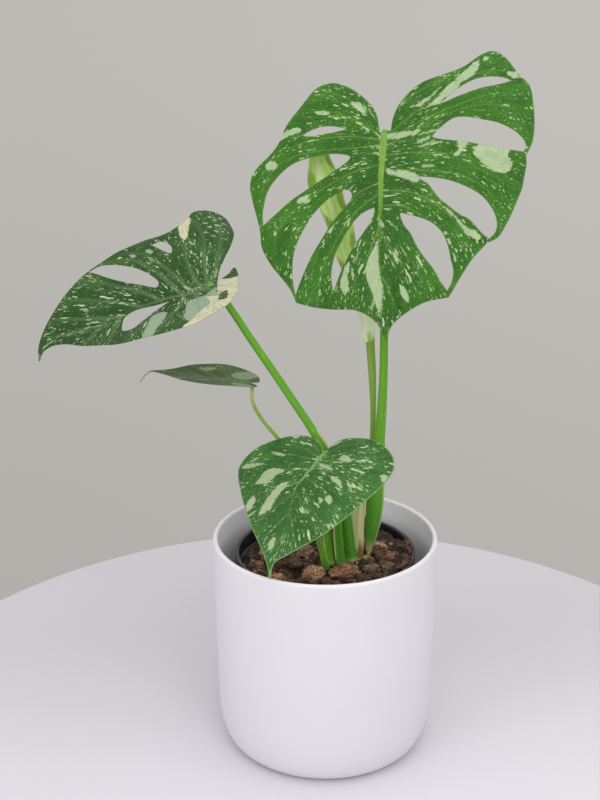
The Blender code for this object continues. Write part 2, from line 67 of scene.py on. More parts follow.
BIG_LEAF = dict(
    joint=(0.035, 0.030, 0.385),
    towards_tip=(-0.016, -0.572, -0.821),
    facing=(-0.36, -0.77, 0.54),
    fold=8, arch=12, half_width=88, droop=6, length=125, lobe_fall=6, lobe=45,
    curl=0, curl_from=125, step=1.5,
    margin=[
        [(-3, 0), (-5, 12), (-10, 21), (-22, 33), (-33, 38.5), (-42, 37), (-49, 29.5), (-56, 20.5),
         (-61.5, 12), (-65, 4), (-71, -3.5), (-78, -9), (-83.5, -14.5), (-85, -22), (-83, -32),
         (-79.5, -44), (-77.5, -53)],
        [(-77.5, -53), (-76.5, -62), (-71, -73), (-64, -82.5), (-58, -91), (-54.5, -99)],
        [(-54.5, -99), (-45, -102.5), (-34, -105), (-19, -107), (-13, -110), (-8, -114), (-4.5, -119.5),
         (-2, -126)],
        [(-2, -126), (1, -119), (9, -113), (22, -107), (36, -106)],
        [(36, -106), (45, -93), (51, -85), (59, -77.5)],
        [(59, -77.5), (65.5, -75), (70.5, -67), (75.5, -57), (79.5, -48), (81, -41), (82.5, -33),
         (82.5, -28)],
        [(82.5, -28), (86, -21), (87.5, -13), (87.5, 3), (86, 14), (82, 20), (77.5, 27), (72, 36),
         (65, 41.5), (58, 40), (47, 33), (23, 28), (12, 20), (6, 9), (4, 0)],
    ],
    slots=[
        [(-51, 5), (-46, 7.5), (-38, 9), (-29, 7.5), (-23, 5), (-29, 4), (-38, 3.5), (-46, 3.5)],
        [(-76, -49), (-76, -38), (-73, -27), (-65, -18), (-56, -12.5), (-44, -10), (-30, -10),
         (-20.5, -13.5), (-33, -23), (-56, -35), (-69, -44)],
        [(-55, -95), (-57, -86), (-56.5, -73), (-51, -57), (-42, -45), (-32, -37), (-22, -34),
         (-19.5, -38), (-33, -55), (-46, -75), (-52, -87)],
        [(-31.5, -96), (-33, -86), (-31, -74), (-24, -61), (-15, -50.5), (-6.5, -47), (-11, -58),
         (-19, -69), (-26, -82)],
        [(76, 19), (73, 21.5), (66, 24), (56, 24), (46, 20), (35, 11), (46, 14), (58, 17), (68, 18)],
        [(81.3, -26), (83, -23.5), (82, -19), (77.5, -13), (69, -7), (59, -3), (48, 0.5), (42, 0.5),
         (35, -3.5), (29.3, -8.8), (33, -11), (41, -13.5), (50, -16), (60, -19.5), (71, -23.3)],
        [(60.5, -75.5), (64, -72.5), (65.3, -67), (63.5, -59), (57, -49), (46, -41), (33, -35), (20, -32.5),
         (26, -37.5), (29.5, -43), (33, -48), (37, -52), (41, -56), (44.5, -59), (49, -62),
         (53.5, -67.5), (57, -72.2)],
        [(35.5, -102.5), (38.3, -98), (39.6, -91), (38.3, -84), (37, -76), (34, -68), (29, -62),
         (23, -58), (15, -54.3), (9, -52.3), (11, -60), (14.5, -65), (18, -73), (22, -80), (28, -89),
         (32, -97)],
    ],
    midrib=[(0, 2), (0, 0), (-2, -27), (-3, -51), (-4, -64), (-3, -114), (-2, -124)],
    rib_width=[(0, 2.4), (27, 1.9), (55, 1.2), (80, 0.7), (125, 0.3)],
    laterals=[
        [(-1, -1), (-8, 13), (-24, 26), (-38, 34)],
        [(-1, -3), (-16, 9), (-36, 19), (-54, 24)],
        [(-1, -5), (-24, 0), (-50, 0), (-66, -6), (-82, -22)],
        [(-2, -8), (-20, -8), (-40, -7), (-60, -9), (-74, -20), (-80, -42)],
        [(-2, -20), (-20, -24), (-45, -36), (-66, -52), (-68, -68)],
        [(-2, -31), (-16, -37), (-33, -50), (-48, -68), (-56, -92)],
        [(-3, -38), (-15, -46), (-28, -62), (-38, -82), (-42, -100)],
        [(-4, -58), (-10, -74), (-18, -90), (-22, -103)],
        [(2, -1), (10, 15), (28, 25), (52, 33), (64, 36)],
        [(2, -3), (20, 9), (38, 19), (58, 28), (72, 27)],
        [(1, -6), (22, 2), (44, 8), (64, 12), (82, 10)],
        [(1, -9), (18, -4), (34, 2), (56, 6), (78, 0), (83, -12)],
        [(0, -15), (20, -17), (42, -22), (62, -30), (78, -38)],
        [(0, -24), (18, -28), (40, -33), (58, -44), (70, -60)],
        [(-1, -37), (14, -40), (32, -52), (46, -70), (50, -82)],
        [(-2, -46), (10, -48), (24, -58), (36, -76), (40, -97)],
        [(-3, -62), (5, -76), (14, -92), (20, -105)],
        [(-3, -84), (-6, -96), (-10, -108)],
        [(-3, -88), (2, -100), (6, -111)],
    ],
    # Small cream patches: from one point to the other, and the width between
    patches=[
        (73, 26, 79, 20, 3), (-44, -36, -50, -40, 2), (24, -13, 38, -14, 2.2), (-20, -82, -19, -91, 1.8),
        (0, -55, 8, -62, 1.6), (-29, -54, -35, -60, 1.9), (-21, -51, -23, -57, 1.6), (35, -67, 37, -70, 2.6),
        (36, -70, 39, -76, 2), (8, -95, 13, -107, 4.1), (4, -74, 7, -83, 2.3), (-20, -74, -19, -77, 2.3),
        (-68, 4, -62, 8, 3), (60, 38, 62, 35, 4),
    ],
    # Outlines of the larger cream patches
    blobs=[
        [(53, -22), (59, -17), (74, -21), (73, -28), (76, -33), (73, -37), (70, -38), (62, -35),
         (58, -30), (54, -25)],
        [(44, -16), (45, -13), (49, -14), (50, -19), (47, -21), (44, -24), (42, -22), (45, -19)],
        [(58, 36), (53, 35), (50, 32), (45, 27), (39, 22), (34, 17), (27, 11), (25, 10), (35, 11),
         (37, 14), (44, 17), (47, 22), (52, 25), (56, 29)],
        [(35, 23), (29, 18), (19, 12), (23, 12), (33, 19)],
        [(76, 24), (79, 25), (83, 18), (85, 15), (80, 20)],
        [(1, -1.5), (12, -2.5), (23, -3.5), (22, -5), (17, -6), (8, -6), (1, -4.5)],
        [(17, -12), (23, -12), (28, -10), (28, -8.5), (25, -9.5), (20, -11)],
        [(1, -22), (6, -26), (11, -28), (17, -29), (22, -33), (20, -36), (13, -33), (7, -30), (1, -27)],
        [(-22, 23), (-15, 22), (-13, 18), (-11, 13), (-16, 16), (-20, 20)],
        [(-44, 20), (-39, 20), (-33, 17), (-35, 16), (-41, 17)],
        [(-66, 5), (-62, 9), (-52, 10), (-51, 7), (-57, 6), (-64, 4)],
        [(-75, -10), (-70, -8), (-66, -12), (-68, -14), (-73, -14)],
        [(-4, -63), (-7, -71), (-11, -79), (-12, -85), (-11, -91), (-9, -98), (-6, -108), (-4, -114),
         (-3, -104), (-2, -96), (-4, -88), (-4, -75)],
        [(-6, -47), (-10, -51), (-12, -57), (-13, -61), (-10, -58), (-7, -53)],
        [(-3, -53), (-1, -58), (-2, -60), (-4, -57)],
        [(-27, -89), (-25, -83), (-23, -78), (-21, -79), (-22, -87), (-23, -97), (-25, -98), (-27, -94)],
        [(-55, -37), (-51, -35), (-46, -34), (-48, -37), (-52, -39)],
        [(36, -53), (38, -54), (43, -60), (47, -65), (52, -69), (56, -75), (53, -75), (48, -72), (43, -64),
         (38, -58)],
    ],
    grey=[], grey_blobs=[], green_spots=[],
    seed=3,
)

LEFT_LEAF = dict(
    joint=(-0.0674, 0.005, 0.2997),
    towards_tip=(-0.877, -0.371, -0.285),
    facing=(-0.196, -0.303, 0.932),
    fold=14, arch=4, half_width=60, droop=4, length=110, lobe_fall=4, lobe=30,
    curl=4, curl_from=102, step=1.3,
    margin=[
        [(0, 4), (-10, 10), (-30, 27), (-41, 34), (-49, 36), (-60, 37), (-69, 33), (-73, 27),
         (-73, 21), (-68, 16)],
        [(-68, 16), (-62, 6), (-60, -6), (-62, -20), (-61.5, -33), (-59, -46), (-55, -58), (-49, -69),
         (-39, -83), (-30, -92), (-20, -101), (-12, -106.5), (-5, -109)],
        [(-5, -109), (-9, -104.5), (-10, -98), (-6, -91), (3, -84), (17, -73), (27, -62), (33, -50),
         (39, -36), (42, -27), (40, -16), (36, -4), (27, 6), (15, 12), (-1, 18), (-9, 19.5), (-4, 13),
         (0, 4)],
    ],
    slots=[
        [(-55, -15), (-54.5, -8), (-46, -5), (-40, -8), (-47, -12)],
        [(-55, -57), (-56.5, -49), (-51, -40), (-42, -33), (-30, -27), (-20, -25), (-16.5, -28),
         (-24, -35), (-41, -48)],
        [(-2, -25), (-4, -35), (-6.5, -46), (-5, -54), (1, -58), (9, -60), (12.5, -55), (9, -47),
         (3, -38)],
    ],
    midrib=[(0, 0), (0, -16), (-4, -24), (-8, -52), (-8, -76), (-11, -94), (-7, -107)],
    rib_width=[(0, 1.5), (30, 1.0), (60, 0.6), (110, 0.2)],
    laterals=[
        [(0, 0), (-14, 10), (-34, 22), (-52, 30)],
        [(0, -2), (-22, 6), (-46, 16), (-64, 18)],
        [(0, -6), (-22, -4), (-44, 2), (-58, 4)],
        [(-1, -12), (-18, -14), (-36, -18), (-52, -24), (-59, -36)],
        [(-2, -18), (-18, -20), (-34, -24), (-50, -32), (-57, -46)],
        [(-5, -30), (-20, -38), (-36, -50), (-50, -64)],
        [(-7, -42), (-20, -54), (-32, -68), (-42, -80)],
        [(-8, -58), (-16, -72), (-24, -84), (-30, -93)],
        [(-9, -76), (-13, -88), (-16, -98)],
        [(1, 0), (8, 8), (6, 14)],
        [(1, -3), (12, 0), (24, 3)],
        [(1, -10), (14, -14), (28, -18), (38, -22)],
        [(1, -18), (12, -26), (22, -38), (33, -46)],
        [(-7, -56), (4, -64), (14, -70)],
        [(-8, -66), (-2, -76), (4, -83)],
    ],
    patches=[],
    blobs=[
        [(16, 15), (1, 19), (2, 12), (-2, 6), (5, 2), (13, -1), (19, -4), (14, -8.5), (24, -10),
         (30, -19), (37, -27), (41, -34), (47, -24), (45, -15), (41, -3), (31, 9)],
        [(-67, 9), (-68, 17), (-57, 12), (-46, 5), (-53, 3.5)],
    ],
    grey=[(-58, 21, -56, 24, 2.2), (-53, 22, -50, 24, 2.6), (-59, 28, -57, 31, 2.0),
          (-54, 27, -51, 30, 3.0), (-61, 32, -58, 34, 2.2), (-55, 32, -52, 34, 1.8),
          (-49, 18, -46, 20, 2.2), (-43, 20, -40, 23, 1.6), (-48, 24, -45, 26, 2.4),
          (-46, 28, -43, 29, 1.4), (-64, 27, -61, 29, 2.0), (-38, 25, -35, 27, 1.4),
          (-36, 2, -28, 4, 1.6), (-44, 6, -38, 7, 1.8), (-52, -20, -46, -17, 3.4), (-54, -30, -49, -27, 3),
          (19, -41, 24, -40, 1.6)],
    grey_blobs=[
        [(12, -8), (5, 1), (13, -1), (20, -4)],
        [(23, -25), (10, -18), (11, -9), (24, -10), (29, -16), (34, -22), (37, -28), (31, -29)],
        [(32, -56), (22, -49), (13, -43), (9, -38), (12, -33), (20, -38), (27, -44), (34, -50)],
    ],
    green_spots=[(18.5, 1, 2.8), (22.5, -0.5, 3), (26.5, -2.5, 2.6), (-5, 16, 5)],
    seed=11,
)

FRONT_LEAF = dict(
    joint=(-0.001, -0.015, 0.201),
    towards_tip=(-0.358, -0.728, -0.590),
    facing=(-0.28, -0.52, 0.81),
    fold=10, arch=9, half_width=48, droop=5, length=86, lobe_fall=3, lobe=18,
    curl=0, curl_from=86, step=1.1,
    margin=[
        [(0, -1), (-4, 5), (-10, 8.5), (-19, 9), (-36, 2), (-48, -9), (-51, -19), (-42, -36),
         (-25, -58), (-14, -70), (-7, -79), (-3, -86)],
        [(-3, -86), (-4, -76), (4, -68), (22, -51), (35, -31), (44, -13), (46, -2), (41, 7),
         (28, 14), (16, 14), (6, 10), (0, -1)],
    ],
    slots=[],
    midrib=[(0, -1), (-5, -16), (-8, -27), (-6, -46), (-4, -66), (-3, -84)],
    rib_width=[(0, 1.0), (20, 0.7), (45, 0.4), (60, 0.2), (86, 0.15)],
    laterals=[
        [(0, -3), (-8, 3), (-18, 5)],
        [(-1, -4), (-14, 0), (-28, 1)],
        [(-1, -6), (-18, -6), (-34, -8), (-46, -16)],
        [(-3, -12), (-18, -16), (-32, -24), (-42, -31)],
        [(-6, -21), (-18, -30), (-30, -42)],
        [(-8, -31), (-16, -42), (-24, -54)],
        [(-7, -44), (-12, -55), (-16, -64)],
        [(-5, -58), (-8, -66), (-9, -74)],
        [(1, -3), (8, 5), (18, 10)],
        [(1, -4), (16, 3), (30, 8)],
        [(0, -6), (16, -4), (32, -2), (43, -2)],
        [(-2, -11), (14, -14), (28, -20), (38, -23)],
        [(-5, -19), (8, -25), (20, -35), (27, -41)],
        [(-7, -30), (2, -38), (12, -48), (16, -54)],
        [(-6, -44), (0, -54), (4, -64)],
        [(-4, -60), (-2, -68), (-2, -74)],
    ],
    patches=[
        (2, -13, 8, -16, 1.2), (24, -20, 28, -24, 1.8), (12, -49, 15, -52, 1.2), (0, -38, 3, -43, 2),
        (-4, -26, -1, -29, 1.3), (-9, -60, -10, -70, 3.4), (3, 5, 8, 11, 3.2), (-20, 11, -16, 8, 2),
    ],
    blobs=[
        [(-36, -6), (-31, -5.5), (-25, -6), (-23, -8), (-28, -8)],
        [(-50, -18), (-46, -15.5), (-34, -15.5), (-38, -17.5), (-46, -20)],
        [(-35, -30), (-32, -21), (-27, -17), (-19, -17), (-23, -22), (-26, -28)],
        [(-13, -24), (-18, -27), (-23, -37), (-24, -50), (-19, -44), (-16, -34), (-14, -28)],
        [(-33, -49), (-35, -44), (-32, -37), (-30, -40), (-31, -47)],
        [(11, -3), (14, 0), (18, -1), (20, -4), (14, -5)],
        [(-1, -8), (2, -7.5), (7, -9), (11, -11), (6, -11.5), (1, -10)],
        [(10, -16), (13, -15), (19, -19), (21, -23), (17, -21), (13, -19)],
        [(39, -9), (43, -8), (45, -10), (43, -14), (41, -11)],
        [(12, -29), (15, -28), (18, -32), (16, -34), (13, -32)],
        [(8, -30), (12, -32), (11, -36)],
        [(20, -47), (23, -45), (22, -50)],
    ],
    grey=[], grey_blobs=[], green_spots=[],
    seed=23,
)

SIDE_LEAF = dict(
    joint=(-0.0458, 0.012, 0.2364),
    towards_tip=(-0.986, 0.147, 0.082),
    facing=(0, -0.06, 1),
    fold=13, arch=0, half_width=20, droop=0, length=66, lobe_fall=2, lobe=10,
    curl=12, curl_from=60, step=0.8,
    margin=[
        [(0, -1), (-3, 5), (-8, 4), (-14, -7), (-17, -22), (-13, -37), (-6, -49), (-1, -60), (1, -68)],
        [(1, -68), (1, -60), (5, -50), (12, -39), (16, -25), (13, -9), (8, 3), (3, 5), (0, -1)],
    ],
    slots=[],
    midrib=[(0, -1), (0, -20), (0, -40), (0, -56), (1, -66)],
    rib_width=[(0, 1.2), (30, 0.8), (66, 0.2)],
    laterals=[
        [(0, -2), (-5, -4), (-10, -8)],
        [(0, -8), (-7, -14), (-14, -22)],
        [(0, -17), (-6, -26), (-12, -35)],
        [(0, -28), (-5, -38), (-8, -45)],
        [(0, -2), (5, -3), (9, -6)],
        [(0, -8), (7, -14), (14, -22)],
        [(0, -17), (6, -26), (11, -36)],
        [(0, -28), (4, -38), (7, -46)],
    ],
    patches=[(-1, 3, 1, 6, 3)],
    blobs=[],
    grey=[(-9, 4, -5, -13, 9), (9, 4, 8, -10, 8), (-11, -23, -9, -34, 4), (4, -20, 7, -34, 1.6)],
    grey_blobs=[], green_spots=[],
    seed=31,
)

# Stalk routes: (x, y, z) in millimetres from the stem base up, then (height, width) pairs.
# wing: (low, high, reach, turn) is the sheath's free edge; groove: (high, depth, turn).
BIG_STALK = dict(
    route=[(28, 11, 120), (29, 11.5, 132), (31, 12, 150), (32, 13, 170), (34, 15, 195), (36, 18, 235),
           (36, 22, 290), (35.5, 27, 350)],
    widths=[(119, 1.8), (124, 4), (132, 6.6), (142, 9), (155, 10.4), (172, 9.6), (192, 6.8),
            (235, 5.2), (385, 3.8)],
    flatness=0.72, wing=(124, 196, 0.16, 172), groove=(200, 0.20, 128),
)
LEFT_STALK = dict(
    route=[(17, 3.5, 120), (15, 4, 138), (12.5, 3, 156), (7.5, 2, 177), (-1.5, 2, 198), (-25, 3, 236.5),
           (-44, 4, 266), (-58, 5, 288)],
    widths=[(120, 8.2), (135, 8.0), (150, 7.4), (175, 6.2), (200, 5.6), (215, 5.0), (300, 4.2)],
    flatness=0.85, wing=(122, 212, 0.5, 150), groove=(214, 0.22, 122),
)
FRONT_STALK = dict(
    route=[(9.9, -3, 120), (8.3, -4, 138), (6.7, -6, 159), (4, -9, 181)],
    widths=[(120, 6.6), (135, 6.4), (150, 5.6), (170, 4.2), (200, 3.2)],
    flatness=0.9, wing=(120, 160, 0.3, 40), groove=(165, 0.24, 80),
)
SIDE_STALK = dict(
    route=[(3.4, -2, 120), (2.2, 0, 136), (-4, 4, 158), (-15, 10, 181), (-28.7, 13, 199), (-37.4, 13, 210),
           (-41.6, 13, 217), (-44.5, 12, 225)],
    widths=[(120, 6.6), (135, 6.0), (150, 4.8), (170, 3.4), (190, 2.6), (240, 1.8)],
    flatness=0.9, wing=(118, 150, 0.3, 30), groove=(150, 0.2, 90),
)
NEW_STALK = dict(
    route=[(27.5, 17.5, 120), (28.5, 18.5, 140), (29.5, 20, 165), (30.3, 24, 194), (30.5, 26, 213),
           (29.8, 28, 235), (28.4, 30.6, 256)],
    widths=[(120, 3.4), (180, 3.4), (215, 3.6), (240, 5.0), (254, 5.4)],
    flatness=0.9, wing=(0, 0, 0, 0), groove=(250, 0.16, 90),
)
NEW_LEAF = dict(
    route=[(28.6, 30.2, 253), (26.5, 34, 269), (21.6, 39, 287.5), (16, 44, 304), (10.5, 49, 321.5),
           (5, 54, 340), (-0.5, 58, 359), (-3.5, 61, 371), (-5, 63, 377.5)],
    widths=[(253, 5.0), (263, 9.0), (275, 10.6), (300, 14), (325, 16), (350, 16), (367, 12), (374, 7),
            (378, 2)],
    twist=27, twist_from=352, flare=4.5, flat_part=0.36, roll=430,
)
YOUNG_STEM = dict(
    route=[(1, -7.5, 118), (-1.6, -8.5, 131), (-4, -9, 141), (-5.5, -9, 150)],
    widths=[(118, 4.4), (138, 3.6), (150, 0.8)],
)
DRIED_SHEATH = dict(
    route=[(21.7, 8.6, 118), (21.2, 8.8, 130), (21, 9, 144), (21.6, 9, 154), (23.5, 9, 162)],
    widths=[(118, 5.4), (130, 7.4), (146, 8.2), (156, 6.4), (162, 3.4)],
)
STEM_BASE = dict(
    route=[(-2, -9, 112.5), (8, -3.5, 112.5), (18, 4, 112.5), (27, 12, 112.5), (31, 17, 112.5)],
    widths=[(112, 12.6), (113, 12.6)],
    flatness=1.0, wing=(0, 0, 0, 0), groove=(0, 0, 0),
)

# Each kind of bark: light, dark and dusty tones
BARK = {
    "tan_bark": ((0.62, 0.36, 0.16), (0.22, 0.115, 0.052), (0.62, 0.44, 0.24)),
    "red_bark": ((0.46, 0.235, 0.12), (0.135, 0.060, 0.032), (0.46, 0.26, 0.14)),
    "grey_bark": ((0.30, 0.22, 0.11), (0.12, 0.078, 0.038), (0.38, 0.30, 0.17)),
    "dark_bark": ((0.150, 0.074, 0.040), (0.050, 0.024, 0.014), (0.26, 0.14, 0.080)),
}
PILLOW = 1.35                # rise of the tissue between a blade's laterals, in millimetres
RIPPLE = 1.2                 # its gentle unevenness
RIB_ABOVE = 0.55             # how far the midrib stands out above
RIB_BELOW = 1.5              # and below
MIX_TOP = 118.5              # level of the mix, in millimetres
MIX_EDGE = 51.5              # radius of its top
NURSERY_BAND = 0.010         # height of the band under the nursery pot's rim
NURSERY_STEP = 0.0030        # how far the band stands out
NURSERY_FOOT = 0.0430        # radius of the nursery pot's foot
TABLE_PLACE = (-0.0059, -0.0087)
CAMERA_PLACE = (-0.01521, -0.76692, 0.50348)
CAMERA_DOWN = 19.68          # degrees below level
CAMERA_TURN = -0.298         # degrees of roll


# ---------------------------------------------------------------- curves and flat shapes

def smooth_curve(points, spacing):
    """Points about one spacing apart on a smooth curve through the given ones (Catmull-Rom)."""
    given = [np.array(point, float) for point in points]
    padded = [2 * given[0] - given[1], *given, 2 * given[-1] - given[-2]]
    result = []
    for before, start, end, after in zip(padded, padded[1:], padded[2:], padded[3:]):
        count = max(1, round(float(np.linalg.norm(end - start)) / spacing))
        pairs = ((before, start), (start, end), (end, after))
        knots = np.cumsum([0] + [np.linalg.norm(b - a) ** 0.5 for a, b in pairs])
        for step in range(count):
            t = knots[1] + (knots[2] - knots[1]) * step / count
            result.append(curve_point((before, start, end, after), knots, t))
    result.append(given[-1])
    return np.array(result)


def curve_point(points, knots, t):
    """One point of the smooth curve between its second and third points."""
    first = [blend(points[i], points[i + 1], knots[i], knots[i + 1], t) for i in range(3)]
    second = [blend(first[i], first[i + 1], knots[i], knots[i + 2], t) for i in range(2)]
    return blend(*second, knots[1], knots[2], t)


def blend(start, end, low, high, t):
    """The point between two points at a knot value between their two knots."""
    return start + (end - start) * ((t - low) / (high - low))


def loop_points(runs, spacing):
    """One closed outline from smooth runs that meet at corners."""
    outline = [point for run in runs for point in smooth_curve(run, spacing)[:-1]]
    if np.linalg.norm(np.array(runs[-1][-1], float) - np.array(runs[0][0], float)) > 0:
        outline.append(np.array(runs[-1][-1], float))
    return np.array(outline)


def inside(points, loop):
    """Which of the flat points lie inside a closed loop."""
    x, y = points[:, 0, None], points[:, 1, None]
    ahead = np.roll(loop, -1, axis=0)
    crosses = (loop[:, 1] > y) != (ahead[:, 1] > y)
    drop = np.where(ahead[:, 1] == loop[:, 1], 1, ahead[:, 1] - loop[:, 1])
    at = loop[:, 0] + (y - loop[:, 1]) / drop * (ahead[:, 0] - loop[:, 0])
    return (crosses & (x < at)).sum(axis=1) % 2 == 1


def in_blade(points, loops):
    """Which of the flat points lie inside the margin and outside every slot."""
    kept = inside(points, loops[0])
    for slot in loops[1:]:
        kept &= ~inside(points, slot)
    return kept


def nearest(points, line):
    """Distance from each flat point to a line, the distance run along it, and its direction there."""
    start, ahead = line[:-1], np.diff(line, axis=0)
    length = np.linalg.norm(ahead, axis=1)
    run = np.concatenate([[0], np.cumsum(length)])[:-1]
    offset = points[:, None] - start
    t = np.clip((offset * ahead).sum(2) / np.maximum(length**2, 1e-12), 0, 1)
    gap = np.linalg.norm(offset - t[..., None] * ahead, axis=2)
    best = gap.argmin(axis=1)
    rows = np.arange(len(points))
    along = run[best] + t[rows, best] * length[best]
    return gap[rows, best], along, (ahead / np.maximum(length, 1e-9)[:, None])[best]


def near_points(points, others):
    """Distance from each flat point to the nearest of the others."""
    result = np.empty(len(points))
    for first in range(0, len(points), 1000):
        part = points[first:first + 1000]
        result[first:first + 1000] = np.linalg.norm(part[:, None] - others, axis=2).min(axis=1)
    return result


# ---------------------------------------------------------------- pieces

def new_object(name, data):
    """An object in the scene that shows a mesh, a light or a camera."""
    obj = bpy.data.objects.new(name, data)
    bpy.context.scene.collection.objects.link(obj)
    return obj


def new_mesh(name, verts, faces, material, sharp=None):
    """A smooth mesh object whose faces look outwards."""
    mesh = bpy.data.meshes.new(name)
    mesh.from_pydata(np.asarray(verts, float).tolist(), [], faces)
    mesh.update()
    bm = bmesh.new()
    bm.from_mesh(mesh)
    bmesh.ops.recalc_face_normals(bm, faces=bm.faces)
    bm.to_mesh(mesh)
    bm.free()
    mesh.shade_smooth()
    if sharp:
        mesh.set_sharp_from_angle(angle=math.radians(sharp))
    mesh.materials.append(material)
    return new_object(name, mesh)


def new_piece(name, verts, faces, material, node, slot, sharp=None):
    """A named piece that stands for a CAD node (or rides along with the frame when node is None)."""
    obj = new_mesh(name, verts, faces, material, sharp)
    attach(obj, "root")
    if node:
        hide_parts(node)
    return obj


def store(obj, name, values):
    """Keeps three numbers for each vertex, for the material to read."""
    made = obj.data.attributes.new(name, "FLOAT_VECTOR", "POINT")
    made.data.foreach_set("vector", np.asarray(values, np.float32).ravel())


def grid_faces(rows, columns, closed):
    """Four-sided faces of a grid of points, joined round when closed."""
    faces = []
    for row in range(rows - 1):
        for column in range(columns if closed else columns - 1):
            ahead = (column + 1) % columns
            faces.append((row * columns + column, row * columns + ahead,
                          (row + 1) * columns + ahead, (row + 1) * columns + column))
    return faces


def tube_faces(rings, around):
    """Faces of a closed tube whose two end points follow its rings."""
    faces = grid_faces(rings, around, True)
    total = rings * around
    for i in range(around):
        j = (i + 1) % around
        faces.append((j, i, total))
        faces.append((total - around + i, total - around + j, total + 1))
    return faces


def ring_points(line, across, deep, wide, high, angle):
    """Rings round a line: half width and half height for each ring (and angle)."""
    sideways = across[:, None] * (wide * np.cos(angle))[..., None]
    return line[:, None] + sideways + deep[:, None] * (high * np.sin(angle))[..., None]


def joined(parts):
    """Many small closed shapes as one set of points, in metres, and faces."""
    verts, faces, total = [], [], 0
    for points, shape in parts:
        verts.append(points)
        faces += [tuple(i + total for i in face) for face in shape]
        total += len(points)
    return np.concatenate(verts) * MM, faces


def turned(profile, steps):
    """Points and faces of a (radius, height) profile turned round Z; both its ends are on the axis."""
    radius, height = (np.array(side)[:, None] for side in zip(*profile[1:-1]))
    angle = np.linspace(0, math.tau, steps, endpoint=False)
    rings = np.stack([radius * np.cos(angle), radius * np.sin(angle), height + 0 * angle], axis=-1)
    ends = [(0, 0, profile[0][1]), (0, 0, profile[-1][1])]
    return np.concatenate([rings.reshape(-1, 3), ends]), tube_faces(len(profile) - 2, steps)


# ---------------------------------------------------------------- blades

def bent_height(x, y, leaf):
    """Height of the bent blade over its flat outline: fold, arch, droop, lobes and curled tip."""
    towards_tip = np.maximum(0, -y)
    z = math.tan(math.radians(leaf["fold"])) * (np.sqrt(x * x + 36) - 6)
    z -= leaf["arch"] * (x / leaf["half_width"]) ** 2
    z -= leaf["droop"] * (towards_tip / leaf["length"]) ** 2
    z -= leaf["lobe_fall"] * (np.maximum(0, y) / leaf["lobe"]) ** 2
    z -= leaf["curl"] * (np.maximum(0, towards_tip - leaf["curl_from"]) / 10) ** 2
    return z


def leaf_axes(leaf):
    """World directions of the blade's X, Y and Z."""
    along = -Vector(leaf["towards_tip"]).normalized()
    up = Vector(leaf["facing"])
    up = (up - up.dot(along) * along).normalized()
    return along.cross(up), along, up


def flat_blade(leaf):
    """(points, triangles) of the flat blade in millimetres, with points along its veins."""
    step = leaf["step"]
    loops = [loop_points(leaf["margin"], step)]
    loops += [loop_points([slot + slot[:1]], step) for slot in leaf["slots"]]
    border = np.concatenate(loops)
    edges, first = [], 0
    for loop in loops:
        edges += [(first + i, first + (i + 1) % len(loop)) for i in range(len(loop))]
        first += len(loop)
    fixed = [border]
    midrib = smooth_curve(leaf["midrib"], step)
    for line in [midrib] + [smooth_curve(vein, step)[1:] for vein in leaf["laterals"]]:
        kept = in_blade(line, loops) & (near_points(line, np.concatenate(fixed)) > 0.8 * step)
        count = 0
        for point, good, before in zip(line, kept, [False, *kept]):
            if good:
                if before:
                    edges.append((first + count - 1, first + count))
                count += 1
        if count:
            fixed.append(line[kept])
            first += count
    fixed = np.concatenate(fixed)
    low, high = border.min(axis=0), border.max(axis=0)
    rows = np.arange(int((high[1] - low[1]) / (step * 0.866)) + 1)
    columns = np.arange(int((high[0] - low[0]) / step) + 1)
    grid = np.array([(low[0] + (c + 0.5 * (r % 2)) * step, low[1] + r * step * 0.866)
                     for r in rows for c in columns])
    grid = grid[in_blade(grid, loops)]
    grid = grid[near_points(grid, fixed) > 0.62 * step]
    verts, _, faces, *_ = delaunay_2d_cdt(
        [Vector(point) for point in np.concatenate([fixed, grid])], edges, [], 1, 1e-5
    )
    points = np.array([tuple(vert) for vert in verts])
    faces = np.array([face for face in faces if len(face) == 3])
    faces = faces[in_blade(points[faces].mean(axis=1), loops)]
    used, faces = np.unique(faces, return_inverse=True)
    return points[used], faces.reshape(-1, 3), loops


def patch_field(points, patches, blobs):
    """How far each point lies inside the nearest patch, in millimetres (negative outside)."""
    field = np.full(len(points), -50.0)
    for blob in blobs:
        loop = smooth_curve(blob + blob[:1], 1.0)
        away = nearest(points, loop)[0]
        field = np.maximum(field, np.where(inside(points, loop[:-1]), away, -away))
    for x1, y1, x2, y2, width in patches:
        start, ahead = np.array((x1, y1), float), np.array((x2 - x1, y2 - y1), float)
        t = ((points - start) @ ahead) / (ahead @ ahead)
        held = np.clip(t, 0, 1)
        gap = np.linalg.norm(points - start - held[:, None] * ahead, axis=1)
        half = width / 2 * np.sin(np.pi * held) ** 0.62
        field = np.maximum(field, half - gap)
    return field


